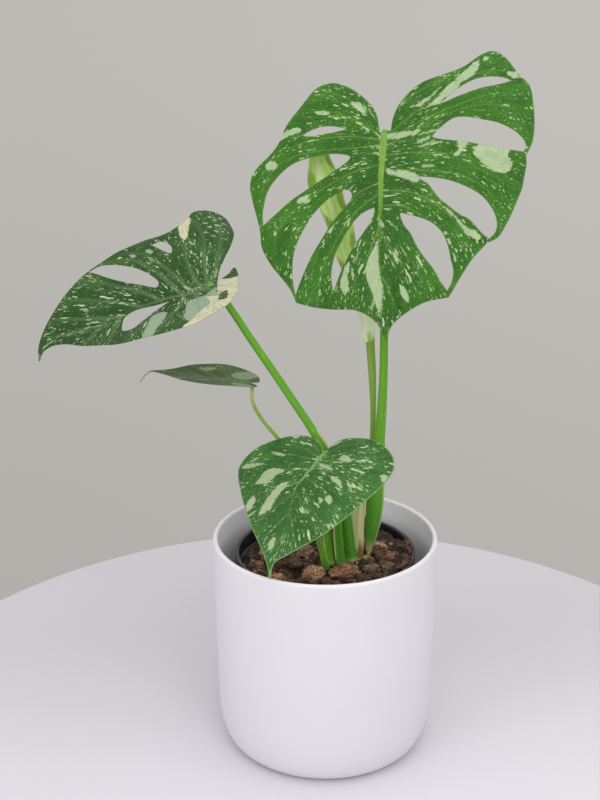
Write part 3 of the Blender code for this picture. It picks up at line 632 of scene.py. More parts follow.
def vein_fields(points, leaf):
    """Midrib closeness, distance to the nearest lateral, flow direction, and place along the flow."""
    midrib = smooth_curve(leaf["midrib"], 1.0)
    from_rib, run, _ = nearest(points, midrib)
    half = np.interp(run, *zip(*leaf["rib_width"]))
    side_total, flow, order = np.zeros(len(points)), np.zeros((len(points), 2)), np.zeros(len(points))
    closest, taper = np.full(len(points), 99.0), np.ones(len(points))
    lines = [smooth_curve(vein, 1.5) for vein in leaf["laterals"]]
    lines.append(smooth_curve(leaf["midrib"][-3:], 1.5))
    for number, line in enumerate(lines):
        gap, along, heading = nearest(points, line)
        weight = 1 / (gap + 0.9) ** 2
        weight[np.sign(points[:, 0] + 3) != np.sign(line[-1, 0] + 3)] *= 0.02
        side_total += weight
        flow += heading * weight[:, None]
        order += number * weight
        if number < len(lines) - 1:
            length = np.linalg.norm(np.diff(line, axis=0), axis=1).sum()
            nearer = gap < closest
            closest = np.where(nearer, gap, closest)
            taper = np.where(nearer, 1 - 0.75 * along / length, taper)
    flow /= np.maximum(np.linalg.norm(flow, axis=1), 1e-9)[:, None]
    return from_rib, half, run, closest, taper, flow, order / side_total


def point_normals(points, faces):
    """Smooth direction of the surface at each point."""
    a, b, c = (points[faces[:, i]] for i in range(3))
    normal = np.cross(b - a, c - a)
    total = np.zeros_like(points)
    for i in range(3):
        np.add.at(total, faces[:, i], normal)
    return total / np.maximum(np.linalg.norm(total, axis=1), 1e-12)[:, None]


def rim_edges(faces):
    """Edges that only one triangle uses, in that triangle's direction."""
    ordered = np.concatenate([faces[:, [0, 1]], faces[:, [1, 2]], faces[:, [2, 0]]])
    _, index, uses = np.unique(np.sort(ordered, axis=1), axis=0, return_inverse=True, return_counts=True)
    return ordered[uses[index.reshape(-1)] == 1]


def closed_blade(mid, faces, normal, above, below, overhang):
    """Upper and lower sides joined round a rim: (points, faces, indices of the rim's points)."""
    edges = rim_edges(faces)
    outward = np.zeros_like(mid)
    for end in (0, 1):
        heading = np.cross(mid[edges[:, 1]] - mid[edges[:, 0]], normal[edges[:, 0]])
        np.add.at(outward, edges[:, end], heading)
    ring = np.unique(edges)
    outward = outward[ring] / np.maximum(np.linalg.norm(outward[ring], axis=1), 1e-9)[:, None]
    verts = np.concatenate([mid + normal * above[:, None], mid - normal * below[:, None],
                            mid[ring] + outward * overhang])
    count = len(mid)
    to_rim = {vert: 2 * count + i for i, vert in enumerate(ring)}
    solid = [tuple(face) for face in faces] + [tuple(face[::-1] + count) for face in faces]
    for a, b in edges:
        solid.append((b, a, to_rim[a], to_rim[b]))
        solid.append((to_rim[b], to_rim[a], a + count, b + count))
    return verts, [tuple(int(i) for i in face) for face in solid], ring


def blade_piece(name, leaf, material, thickness, relief, node, slot):
    """A thin closed blade with sunken laterals above, raised ribs below and a rounded margin."""
    flat, faces, loops = flat_blade(leaf)
    x, y = flat.T
    mid = np.column_stack([x, y, bent_height(x, y, leaf)])
    from_rib, half, run, closest, taper, flow, order = vein_fields(flat, leaf)
    margin = near_points(flat, np.concatenate(loops))
    soft = np.clip(margin / 6, 0, 1)

    # The tissue swells between the laterals, dips at the midrib and ripples gently
    pillow = (1 - np.exp(-((closest / 4.5) ** 2))) * np.exp(-((from_rib / 90) ** 2))
    shift = relief * (PILLOW * pillow * soft - 0.35 * np.exp(-((from_rib / 4) ** 2)))
    ripple = [noise.noise(Vector((px / 19, py / 19, leaf["seed"]))) for px, py in flat]
    shift += RIPPLE * np.array(ripple) * np.clip(np.hypot(x, y) / 30, 0, 1) * relief
    mid[:, 2] += shift
    normal = point_normals(mid, faces)

    # The laterals are grooves above and ridges below; the midrib stands out on both sides
    rib_fade = np.clip(1 - run / (leaf["length"] * 1.05), 0.12, 1)
    rib = relief * rib_fade * np.exp(-((from_rib / np.maximum(half, 0.5)) ** 2) * 1.6)
    vein = relief * taper * soft
    above = thickness / 2 - 0.22 * vein * np.exp(-((closest / 0.7) ** 2)) + RIB_ABOVE * rib
    below = thickness / 2 + 0.45 * vein * np.exp(-((closest / 0.75) ** 2))
    below += RIB_BELOW * rib * np.clip(margin / 2, 0, 1)
    verts, solid, ring = closed_blade(mid, faces, normal, above, below, thickness * 0.4)
    verts = verts * MM @ np.array(leaf_axes(leaf)) + np.array(leaf["joint"])
    obj = new_piece(name, verts, solid, material, node, slot)

    count = len(mid)
    index = np.concatenate([np.arange(count), np.arange(count), ring])
    under = np.concatenate([np.zeros(count), np.ones(count), np.full(len(ring), 0.5)])
    patch = patch_field(flat, leaf["patches"], leaf["blobs"])
    for sx, sy, radius in leaf["green_spots"]:
        patch = np.minimum(patch, np.hypot(x - sx, y - sy) - radius)
    grey = patch_field(flat, leaf["grey"], leaf["grey_blobs"])
    zero = 0 * x
    for key, columns in (
        ("leaf_place", (x, y, zero)), ("leaf_flow", (flow, zero)), ("leaf_run", (order * 9, from_rib, zero)),
        ("leaf_marks", (patch, grey, zero)), ("leaf_fade", (run, taper, margin)),
    ):
        store(obj, key, np.column_stack(columns)[index])
    closeness = np.clip(from_rib / half, 0, 4)
    store(obj, "leaf_veins", np.column_stack([closeness[index], closest[index], under]))
    return obj


# ---------------------------------------------------------------- stalks and rolled sheets

def route_frames(line):
    """Tangent, direction across the front and direction to the front along a route."""
    ahead = np.gradient(line, axis=0)
    tangent = ahead / np.linalg.norm(ahead, axis=1)[:, None]
    across = np.cross(tangent, (0, 1, 0))
    across /= np.linalg.norm(across, axis=1)[:, None]
    return tangent, across, np.cross(tangent, across)


def stalk_piece(name, stalk, material, node, slot, leaf=None, sides=48, spacing=1.6):
    """A ribbed stalk with its sheath's free edge, a groove, and a knuckle under the blade."""
    route = list(stalk["route"])
    if leaf:
        _, along, up = leaf_axes(leaf)
        joint = Vector(leaf["joint"]) / MM
        route.append(tuple(joint - 1.6 * up + 1.0 * along))
        route.append(tuple(joint - 1.0 * up - 3.4 * along))
    line = smooth_curve(route, spacing)
    run = np.concatenate([[0], np.cumsum(np.linalg.norm(np.diff(line, axis=0), axis=1))])
    width = np.interp(line[:, 2], *zip(*stalk["widths"]))
    to_end = run[-1] - run
    if leaf:
        knuckle = np.exp(-(((to_end - 11) / 6) ** 2))
        width = width * (1 + 0.13 * knuckle) * np.clip(0.55 + to_end / 11, 0, 1)
    else:
        knuckle = np.zeros(len(line))
    tangent, across, deep = route_frames(line)
    angle = np.linspace(0, math.tau, sides, endpoint=False)
    low, high, reach, turn = stalk["wing"]
    groove_top, depth, groove_turn = stalk["groove"]
    height = line[:, 2]
    rise = np.clip((height - low) / 8, 0, 1) * np.clip((high - height) / 5, 0, 1)
    sunk = np.clip((groove_top - height) / 14, 0, 1)
    if leaf:
        sunk = np.maximum(sunk, 0.45 * np.clip(to_end / 10, 0, 1))

    def lump(centre, spread):
        """Bulge in a ring's section, about a direction in degrees."""
        away = np.angle(np.exp(1j * (angle - math.radians(centre))))
        return np.exp(-((away / spread) ** 2))

    ribs = 0.014 * np.cos(13 * angle) + 0.008 * np.cos(29 * angle + 1)
    size = 1 + ribs[None] + rise[:, None] * reach * lump(turn, 0.17)[None]
    size -= sunk[:, None] * depth * lump(groove_turn, 0.32)[None]
    size *= 1 + 0.03 * knuckle[:, None] * np.sin(run * 2.6)[:, None]
    half = width[:, None] / 2 * size
    rings = ring_points(line, across, deep, half, half * stalk["flatness"], angle)
    ends = [line[0] - tangent[0] * width[0] * 0.15, line[-1] + tangent[-1] * width[-1] * 0.15]
    verts = np.concatenate([rings.reshape(-1, 3), ends])
    obj = new_piece(name, verts * MM, tube_faces(len(line), sides), material, node, slot)
    wing = (rise[:, None] * lump(turn, 0.3)[None]).ravel()
    round_mm = (width[:, None] / 2 * np.minimum(angle, math.tau - angle)[None]).ravel()
    place = np.column_stack([round_mm, np.repeat(run, sides), wing])
    store(obj, "stalk_place", np.concatenate([place, [(0, 0, 0), (0, run[-1], 0)]]))
    marks = np.column_stack([np.repeat(v, sides) for v in (height - height[0], to_end, knuckle)])
    store(obj, "stalk_marks", np.concatenate([marks, marks[:1], marks[-1:]]))
    return obj


def sheet_piece(name, rows, across, along, material, thickness, node, slot):
    """A thin closed sheet from rows of points; across and along are kept for its material."""
    grid = np.asarray(rows, float)
    count_rows, columns = grid.shape[:2]
    down = np.gradient(grid, axis=0)
    over = np.gradient(grid, axis=1)
    normal = np.cross(over, down)
    normal /= np.maximum(np.linalg.norm(normal, axis=2), 1e-9)[..., None]
    front = (grid + normal * thickness / 2).reshape(-1, 3)
    back = (grid - normal * thickness / 2).reshape(-1, 3)
    total = count_rows * columns
    faces = grid_faces(count_rows, columns, False)
    faces += [tuple(i + total for i in face[::-1]) for face in faces]
    rim = list(range(columns))
    rim += [(row + 1) * columns - 1 for row in range(1, count_rows)]
    rim += [total - 1 - i for i in range(1, columns)]
    rim += [row * columns for row in range(count_rows - 2, 0, -1)]
    for a, b in zip(rim, rim[1:] + rim[:1]):
        faces.append((a, b, b + total, a + total))
    obj = new_piece(name, np.concatenate([front, back]) * MM, faces, material, node, slot, sharp=50)
    place = np.stack(np.broadcast_arrays(across, along, 0.0), axis=-1).reshape(-1, 3)
    store(obj, "sheet_place", np.concatenate([place, place + (0, 0, 1)]))
    return obj


def rolled_leaf(name, leaf, material, node, slot):
    """The furled new leaf: a flat middle with each half rolled in towards the front."""
    line = smooth_curve(leaf["route"], 2.0)
    half = np.interp(line[:, 2], *zip(*leaf["widths"])) / 2
    _, across, deep = route_frames(line)
    u = np.linspace(-1, 1, 73)
    flat_part, full_roll = leaf["flat_part"], math.radians(leaf["roll"])
    width = np.abs(u)
    in_flat = width < flat_part
    sign = np.sign(u)
    turned = np.clip((width - flat_part) / (1 - flat_part), 0, 1) * full_roll
    rows = []
    for centre, size, side, front in zip(line, half, across, deep):
        swing = math.cos(math.tau * (centre[2] - leaf["twist_from"]) / leaf["twist"])
        flare = leaf["flare"] * math.exp(-(((centre[2] - leaf["twist_from"]) / 10) ** 2))
        roll = size * 0.46
        flat = size - roll + np.where(u > 0, flare, 0) - 0.06 * size * swing * sign
        radius = roll * (1 - 0.42 * turned / full_roll)
        x = np.where(in_flat, u / flat_part * flat, sign * (flat + radius * np.sin(turned)))
        crown = 0.32 * size * (1 - np.minimum(width / flat_part, 1) ** 2)
        y = np.where(in_flat, 0, radius * np.cos(turned) - roll) + crown
        rows.append(centre + side * x[:, None] + front * y[:, None])
    return sheet_piece(name, rows, u[None], line[:, 2][:, None], material, 0.5, node, slot)


def folded_sheath(name, growth, material, node, slot, open_angle, ragged, seed):
    """A short clasping sheath: a folded sheet with a torn upper edge."""
    line = smooth_curve(growth["route"], 1.0)
    half = np.interp(line[:, 2], *zip(*growth["widths"])) / 2
    _, across, deep = route_frames(line)
    u = np.linspace(-1, 1, 41)
    torn = np.array([noise.noise(Vector((i * 0.35, seed, 0))) for i in range(len(u))])
    rows = []
    for row, (centre, size, side, front) in enumerate(zip(line, half, across, deep)):
        up = row / (len(line) - 1)
        bend = open_angle * u
        x = size * np.sin(bend) / math.sin(min(open_angle, math.pi / 2))
        y = size * 0.5 * (np.cos(bend) - 0.6)
        y = y + 0.25 * np.sin(u * 9 + up * 3) * up
        drop = np.clip((up - 0.6) / 0.4, 0, 1) * ragged * (torn + 0.35 * np.abs(u))
        rows.append(centre + side * x[:, None] + front * y[:, None] - np.array((0, 0, 1)) * drop[:, None])
    along = np.linspace(0, 1, len(line))[:, None]
    return sheet_piece(name, rows, u[None], along, material, 0.35, node, slot)


# ---------------------------------------------------------------- pots, mix and bark

def arc(centre, radius, start, end, count):
    """(radius, height) points on an arc, with its angles in degrees."""
    angles = np.radians(np.linspace(start, end, count))
    return [(centre[0] + radius * math.cos(a), centre[1] + radius * math.sin(a)) for a in angles]


def cover_profile(pot):
    """Outline of the cover pot, from the middle of its foot round the lip to its inside floor."""
    radius, height = POT_HIGH.x, POT_HIGH.z
    taper, wall = pot.taper, pot.wall

    def outer(z):
        side = radius - taper + taper * z / height
        if z >= pot.corner_up:
            return side
        rise = (pot.corner_up - z) / pot.corner_up
        return side - pot.corner_across * (1 - (1 - rise**3) ** (1 / 3))

    heights = [pot.corner_up * (1 - math.cos(math.pi / 2 * i / 24)) for i in range(25)]
    profile = [(0, 0), (outer(0) * 0.5, 0), (outer(0) - 0.0006, 0), (outer(0.00002), 0.0004)]
    profile += [(outer(z), z) for z in heights[2:]]
    profile += [(outer(z), z) for z in np.linspace(pot.corner_up, height, 8)[1:-1]]
    profile += arc((radius - wall / 2, height - wall / 2), wall / 2, 0, 180, 15)
    corner = pot.corner_up - pot.floor
    inner = [pot.floor + corner * (1 - math.cos(math.pi / 2 * i / 12)) for i in range(13)]
    profile += [(outer(z) - wall, z) for z in reversed(inner)]
    return profile + [(0, pot.floor)]


def nursery_profile(pot):
    """Outline of the nursery pot: foot, tapered wall, stepped band and rolled rim."""
    low, top, rim = NURSERY_LOW.z, NURSERY_HIGH.z, NURSERY_HIGH.x
    band, shoulder, foot, wall = top - NURSERY_BAND, rim - NURSERY_STEP, NURSERY_FOOT, pot.wall
    profile = [(0, low + 0.0012), (foot * 0.62, low + 0.0012), (foot * 0.66, low)]
    profile += [(foot - 0.002, low)] + arc((foot - 0.0018, low + 0.0018), 0.0018, -70, 0, 5)
    flare, rise = shoulder - foot, band - low
    profile += [(foot + flare * t, low + 0.003 + (rise - 0.004) * t) for t in np.linspace(0, 1, 12)]
    profile += [(shoulder + 0.0004, band), (rim - 0.0007, band)]
    profile += arc((rim - 0.0007, band + 0.0005), 0.0004, -60, 0, 4)
    profile += arc((rim - 0.0008, top - 0.0008), 0.0008, 0, 90, 6)
    profile += arc((rim - wall - 0.0004, top - 0.0007), 0.0007, 90, 180, 5)
    profile += [(rim - wall - 0.0012, band + 0.0012), (shoulder - wall, band - 0.0002)]
    profile += [(foot - wall + flare * t, low + 0.004 + (rise - 0.006) * t) for t in np.linspace(0.98, 0, 10)]
    profile += [(foot - wall - 0.003, low + 0.0026), (0, low + 0.0026)]
    return profile


def drill(obj, pot):
    """Cuts the drainage holes through the nursery pot's floor."""
    radius, circle = pot.hole_radius, pot.hole_circle
    bm = bmesh.new()
    for i in range(pot.holes):
        angle = math.tau * i / pot.holes
        place = Matrix.Translation((circle * math.cos(angle), circle * math.sin(angle), NURSERY_LOW.z))
        bmesh.ops.create_cone(bm, cap_ends=True, segments=28, radius1=radius, radius2=radius,
                              depth=0.008, matrix=place)
    mesh = bpy.data.meshes.new("drill")
    bm.to_mesh(mesh)
    bm.free()
    cutter = new_object("drill", mesh)
    boolean = obj.modifiers.new("Drainage", "BOOLEAN")
    boolean.operation, boolean.solver, boolean.object = "DIFFERENCE", "EXACT", cutter
    bpy.context.view_layer.update()
    cut = bpy.data.meshes.new_from_object(obj.evaluated_get(bpy.context.evaluated_depsgraph_get()))
    obj.modifiers.remove(boolean)
    obj.data = cut
    bpy.data.objects.remove(cutter, do_unlink=True)


def mix_lumps(dice, number):
    """Half-sunk lumps that roughen the mix: x, y, radius and height in millimetres."""
    reach = 51 * np.sqrt(dice.random(number))
    turn = dice.random(number) * math.tau
    size = dice.uniform(1.2, 5.0, number) ** 1.1
    height = size * dice.uniform(0.35, 0.8, number)
    return np.column_stack([reach * np.cos(turn), reach * np.sin(turn), size, height])


def mix_surface(x, y, lumps):
    """Height of the rough mix in millimetres."""
    reach = np.minimum(1, np.hypot(x, y) / 52)
    heaped = (np.maximum(0, x) / np.maximum(np.hypot(x, y), 1)) ** 2
    base = MIX_TOP - 2.4 + 4.4 * reach**5 + 5.5 * heaped * reach**4
    gap = (x[:, None] - lumps[:, 0]) ** 2 + (y[:, None] - lumps[:, 1]) ** 2
    caps = lumps[:, 3] * np.sqrt(np.maximum(0, 1 - gap / lumps[:, 2] ** 2))
    grit = [0.5 * noise.fractal(Vector((a / 2.2, b / 2.2, 7)), 1.0, 2.0, 3) for a, b in zip(x, y)]
    return base + caps.max(axis=1) + np.array(grit)


def ground_level(x, y, lumps):
    """Height of the mix under one point."""
    return mix_surface(np.array([x]), np.array([y]), lumps)[0]


def mix_bed(mix, material):
    """The lumpy bed of mix that fills the nursery pot; returns its dice and lumps."""
    dice = np.random.default_rng(mix.seed)
    lumps = mix_lumps(dice, mix.lumps)
    rings, around = 74, 230
    floor = NURSERY_LOW.z / MM + 1.7
    lower_rings = ((105, 50.4), (70, 47.2), (30, 43.4), (floor + 3, 41.0), (floor, 38.0))
    radii = np.linspace(0.7, MIX_EDGE, rings)
    angle = np.linspace(0, math.tau, around, endpoint=False)
    x = (radii[:, None] * np.cos(angle)).ravel()
    y = (radii[:, None] * np.sin(angle)).ravel()
    z = mix_surface(x, y, lumps)
    points = [np.column_stack([x, y, z])]
    for height, radius in lower_rings:
        points.append(np.column_stack([radius * np.cos(angle), radius * np.sin(angle), 0 * angle + height]))
    points = np.concatenate([*points, [(0, 0, MIX_TOP - 1.5), (0, 0, floor)]])
    faces = tube_faces(rings + len(lower_rings), around)
    new_piece("potting_mix_bed", points * MM, faces, material, "potting_mix", "potting_mix")
    return dice, lumps


def lump_shape(dice, subdivisions, squareness, grain):
    """Unit lump with worn flat faces and a layered grain."""
    bm = bmesh.new()
    bmesh.ops.create_icosphere(bm, subdivisions=subdivisions, radius=1)
    points = np.array([tuple(vert.co) for vert in bm.verts])
    faces = [tuple(vert.index for vert in face.verts) for face in bm.faces]
    bm.free()
    planes = dice.normal(size=(13, 3))
    planes /= np.linalg.norm(planes, axis=1)[:, None]
    reach = dice.uniform(0.72, 1.05, 13)
    facing = np.maximum(points @ planes.T, 0) / reach
    size = np.maximum((facing**squareness).sum(axis=1), 0.15) ** (-1 / squareness)
    offset = dice.uniform(0, 50, 3)
    layers = np.array([
        0.5 * noise.noise(Vector((p[0] * 1.5, p[1] * 1.5, p[2] * 6)) + Vector(offset))
        + 0.6 * noise.fractal(Vector(p * 2.4) + Vector(offset), 0.9, 2.1, 5)
        for p in points
    ])
    return points * (size * (1 + grain * layers))[:, None], faces


def bark_chip(number, material, slot):
    """One piece of bark, fitted to the place of its CAD solid."""
    name = f"bark_chip_{number:02d}"
    dice = np.random.default_rng(100 + number)
    points, faces = lump_shape(dice, 5, 9, 0.24)
    turn = dice.uniform(0, math.pi)
    points = points * (1.0, dice.uniform(0.75, 0.95), 0.9)
    cos, sin = math.cos(turn), math.sin(turn)
    points[:, :2] = points[:, :2] @ np.array([(cos, -sin), (sin, cos)])
    low, high = points.min(axis=0), points.max(axis=0)
    box_low, box_high = (np.array(corner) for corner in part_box(name))
    box_low = box_low - (0, 0, 0.0012)
    points = (points - low) / (high - low) * (box_high - box_low) + box_low
    return new_piece(f"bark_piece_{number:02d}", points, faces, material, name, slot)


def crumbs(name, dice, lumps, number, sizes, material, slot, detail, spilled):
    """Many loose crumbs as one piece, on the mix or, when spilled, on a stretch of the nursery pot's rim."""
    parts = []
    for _ in range(number):
        reach, turn = 50.5 * math.sqrt(dice.random()), dice.random() * math.tau
        if spilled:
            reach, turn = dice.uniform(51.0, 55.0), math.radians(dice.uniform(*spilled))
        size = dice.uniform(*sizes)
        x, y = (reach - size * 0.4) * math.cos(turn), (reach - size * 0.4) * math.sin(turn)
        points, shape = lump_shape(dice, detail, 8, 0.34)
        points = points * (1, dice.uniform(0.55, 0.9), dice.uniform(0.4, 0.7)) * size / 2
        spin = Matrix.Rotation(dice.random() * math.tau, 3, "Z")
        tilt = Matrix.Rotation(dice.uniform(-0.5, 0.5), 3, "X")
        points = points @ np.array(spin @ tilt).T
        ground = ground_level(x, y, lumps)
        if spilled:
            ground = NURSERY_HIGH.z / MM - np.interp(reach, (51.0, 54.0), (3.0, 0.0))
        parts.append((points + (x, y, ground + size * 0.16), shape))
    return new_piece(name, *joined(parts), material, None, slot)


def fibres(name, dice, lumps, number, material, slot):
    """Fine coir fibres that lie curled on the mix."""
    sides = 6
    angle = np.linspace(0, math.tau, sides, endpoint=False)
    parts = []
    for _ in range(number):
        x, y = dice.uniform(-38, 38, 2)
        heading, bend = dice.random() * math.tau, dice.uniform(-0.22, 0.22)
        steps, thick = int(dice.integers(7, 15)), dice.uniform(0.10, 0.22)
        line = []
        for _ in range(steps):
            if math.hypot(x, y) > 47:
                break
            line.append((x, y, ground_level(x, y, lumps) + 0.5))
            x, y = x + 1.4 * math.cos(heading), y + 1.4 * math.sin(heading)
            heading += bend + dice.uniform(-0.15, 0.15)
        if len(line) < 4:
            continue
        line = np.array(line)
        line[1:-1, 2] = (line[:-2, 2] + line[1:-1, 2] + line[2:, 2]) / 3 + 0.3
        line = smooth_curve(line, 0.8)
        _, across, deep = route_frames(line)
        taper = np.sin(np.linspace(0.25, math.pi - 0.25, len(line)))[:, None] * thick
        rings = ring_points(line, across, deep, taper, taper, angle).reshape(-1, 3)
        faces = grid_faces(len(line), sides, True)
        faces += [tuple(range(sides))[::-1], tuple(range(len(rings) - sides, len(rings)))]
        parts.append((rings, faces))
    return new_piece(name, *joined(parts), material, None, slot)


# ---------------------------------------------------------------- materials

class Nodes:
    """A short way to add and join the nodes of one material or group."""

    def __init__(self, tree):
        self.tree = tree

    def add(self, kind, inputs=(), **settings):
        made = self.tree.nodes.new("ShaderNode" + kind)
        for name, value in settings.items():
            setattr(made, name, value)
        for key, value in dict(inputs).items():
            self.put(made.inputs[key], value)
        return made

    def put(self, socket, value):
        """Links a socket, or sets its value; a colour may leave out its alpha."""
        if isinstance(value, bpy.types.NodeSocket):
            self.tree.links.new(value, socket)
        elif socket.type == "RGBA":
            socket.default_value = (*value[:3], 1)
        else:
            socket.default_value = value

    def math(self, operation, *values):
        return self.add("Math", enumerate(values), operation=operation).outputs[0]

    def times(self, value, factor):
        return self.math("MULTIPLY", value, factor)

    def times_plus(self, value, factor, extra):
        return self.math("MULTIPLY_ADD", value, factor, extra)

    def centred(self, value):
        """A noise value moved so that its middle is zero."""
        return self.math("SUBTRACT", value, 0.5)

    def vector(self, operation, *values, scale=None):
        inputs = dict(enumerate(values))
        if scale is not None:
            inputs["Scale"] = scale
        made = self.add("VectorMath", inputs, operation=operation)
        return made.outputs["Value" if operation in ("DOT_PRODUCT", "LENGTH") else "Vector"]

    def ramp(self, value, low, high, start=0.0, end=1.0):
        """Turns a value into a smooth step between two limits."""
        inputs = {"Value": value, "From Min": low, "From Max": high, "To Min": start, "To Max": end}
        return self.add("MapRange", inputs, interpolation_type="SMOOTHSTEP").outputs[0]

    def mix(self, share, one, other):
        return self.add("Mix", {0: share, 6: one, 7: other}, data_type="RGBA").outputs[2]

    def noise(self, place, scale, detail=2.0, roughness=0.5, distortion=0.0):
        inputs = {"Vector": place, "Scale": scale, "Detail": detail, "Roughness": roughness,
                  "Distortion": distortion}
        return self.add("TexNoise", inputs).outputs["Fac"]

    def attribute(self, name):
        return self.add("Attribute", attribute_name=name).outputs["Vector"]

    def parts(self, vector):
        return self.add("SeparateXYZ", {0: vector}).outputs

    def stretch(self, place, scale):
        return self.vector("MULTIPLY", place, scale)

    def group(self, tree, inputs):
        made = self.tree.nodes.new("ShaderNodeGroup")
        made.node_tree = tree
        for key, value in inputs.items():
            self.put(made.inputs[key], value)
        return made.outputs

    def millimetres(self):
        """Place on the object in millimetres."""
        return self.vector("SCALE", self.add("TexCoord").outputs["Object"], scale=1000.0)

    def streaks(self, place, across, along, seed):
        inputs = {"Place": place, "Across": across, "Along": along, "Seed": seed}
        return self.group(shared_group("Grain streaks", build_streaks), inputs)

    def flecks(self, place, flow, cell, width, stretch, share, seed):
        inputs = {"Place": place, "Flow": flow, "Cell": cell, "Width": width, "Stretch": stretch,
                  "Share": share, "Seed": seed}
        return self.group(shared_group("Leaf flecks", build_flecks), inputs)

    def surface(self, shader, colour, rough, height, strength, distance, specular=0.5):
        """Joins the finished colour, roughness and relief to the shader."""
        bump = self.add("Bump", {"Strength": strength, "Distance": distance, "Height": height})
        self.put(shader["Base Color"], colour)
        self.put(shader["Roughness"], rough)
        self.put(shader["Normal"], bump.outputs[0])
        shader["Specular IOR Level"].default_value = specular


def new_material(name):
    """A material, its nodes and the inputs of its shader."""
    material = bpy.data.materials.new(name)
    material.use_nodes = True
    nodes = Nodes(material.node_tree)
    return material, nodes, material.node_tree.nodes["Principled BSDF"].inputs


def new_group(name, inputs, outputs):
    """An empty node group with its named sockets; inputs are (name, kind, default)."""
    tree = bpy.data.node_groups.new(name, "ShaderNodeTree")
    for label, kind, default in inputs:
        socket = tree.interface.new_socket(label, in_out="INPUT", socket_type="NodeSocket" + kind)
        if default is not None:
            socket.default_value = default
    for label, kind in outputs:
        tree.interface.new_socket(label, in_out="OUTPUT", socket_type="NodeSocket" + kind)
    start = tree.nodes.new("NodeGroupInput").outputs
    end = tree.nodes.new("NodeGroupOutput").inputs
    return tree, Nodes(tree), start, end


def shade(colour, factor):
    """A colour made darker or lighter by a factor."""
    return tuple(part * factor for part in colour)


def shared_group(name, build):
    """A node group that is built only once."""
    return bpy.data.node_groups.get(name) or build(name)


def build_flecks(name):
    """Torn dashes of colour that lie along the veins' flow, one to a cell."""
    tree, nodes, start, end = new_group(
        name,
        [("Place", "Vector", None), ("Flow", "Vector", None), ("Cell", "Float", 2.0),
         ("Width", "Float", 0.2), ("Stretch", "Float", 2.4), ("Share", "Float", 0.3),
         ("Seed", "Float", 0.0)],
        [("Mask", "Float"), ("Tone", "Float")],
    )
    shrink = nodes.math("DIVIDE", 1.0, start["Cell"])
    cells = nodes.vector("SCALE", start["Place"], scale=shrink)
    moved = nodes.add("CombineXYZ", {0: start["Seed"], 1: start["Seed"], 2: 0.0}).outputs[0]
    cells = nodes.vector("ADD", cells, moved)
    wobble = nodes.add("TexNoise", {"Vector": cells, "Scale": 1.9, "Detail": 2.0}).outputs["Color"]
    wobble = nodes.vector("SUBTRACT", wobble, (0.5, 0.5, 0.5))
    wobbly = nodes.vector("ADD", cells, nodes.vector("SCALE", wobble, scale=0.34))
    found = nodes.add("TexVoronoi", {"Vector": wobbly, "Scale": 1.0}, voronoi_dimensions="2D").outputs
    offset = nodes.vector("SUBTRACT", wobbly, found["Position"])
    cross = nodes.vector("CROSS_PRODUCT", start["Flow"], (0, 0, 1))
    along = nodes.math("DIVIDE", nodes.vector("DOT_PRODUCT", offset, start["Flow"]), start["Stretch"])
    across = nodes.vector("DOT_PRODUCT", offset, cross)
    reach = nodes.vector("LENGTH", nodes.add("CombineXYZ", {0: along, 1: across}).outputs[0])
    dice = nodes.add("SeparateColor", {0: found["Color"]}).outputs
    radius = nodes.times(start["Width"], nodes.times_plus(dice[0], 0.9, 0.35))
    shape = nodes.ramp(nodes.math("DIVIDE", reach, radius), 1.15, 0.85)
    chosen = nodes.math("LESS_THAN", dice[1], start["Share"])
    nodes.put(end["Mask"], nodes.times(shape, chosen))
    nodes.put(end["Tone"], dice[2])
    return tree


def build_streaks(name):
    """Fine bands that run with the grain of a stalk, sheath or leaf."""
    tree, nodes, start, end = new_group(
        name,
        [("Place", "Vector", None), ("Across", "Float", 1.0), ("Along", "Float", 0.05),
         ("Seed", "Float", 0.0)],
        [("Bands", "Float"), ("Cloud", "Float")],
    )
    pressed = nodes.add("CombineXYZ", {0: start["Across"], 1: start["Along"], 2: 1.0}).outputs[0]
    place = nodes.vector("MULTIPLY", start["Place"], pressed)
    moved = nodes.add("CombineXYZ", {0: start["Seed"], 1: start["Seed"], 2: start["Seed"]}).outputs[0]
    place = nodes.vector("ADD", place, moved)
    nodes.put(end["Bands"], nodes.noise(place, 1.0, 3.0, 0.6, 0.3))
    nodes.put(end["Cloud"], nodes.noise(place, 0.22, 2.0, 0.5))
    return tree


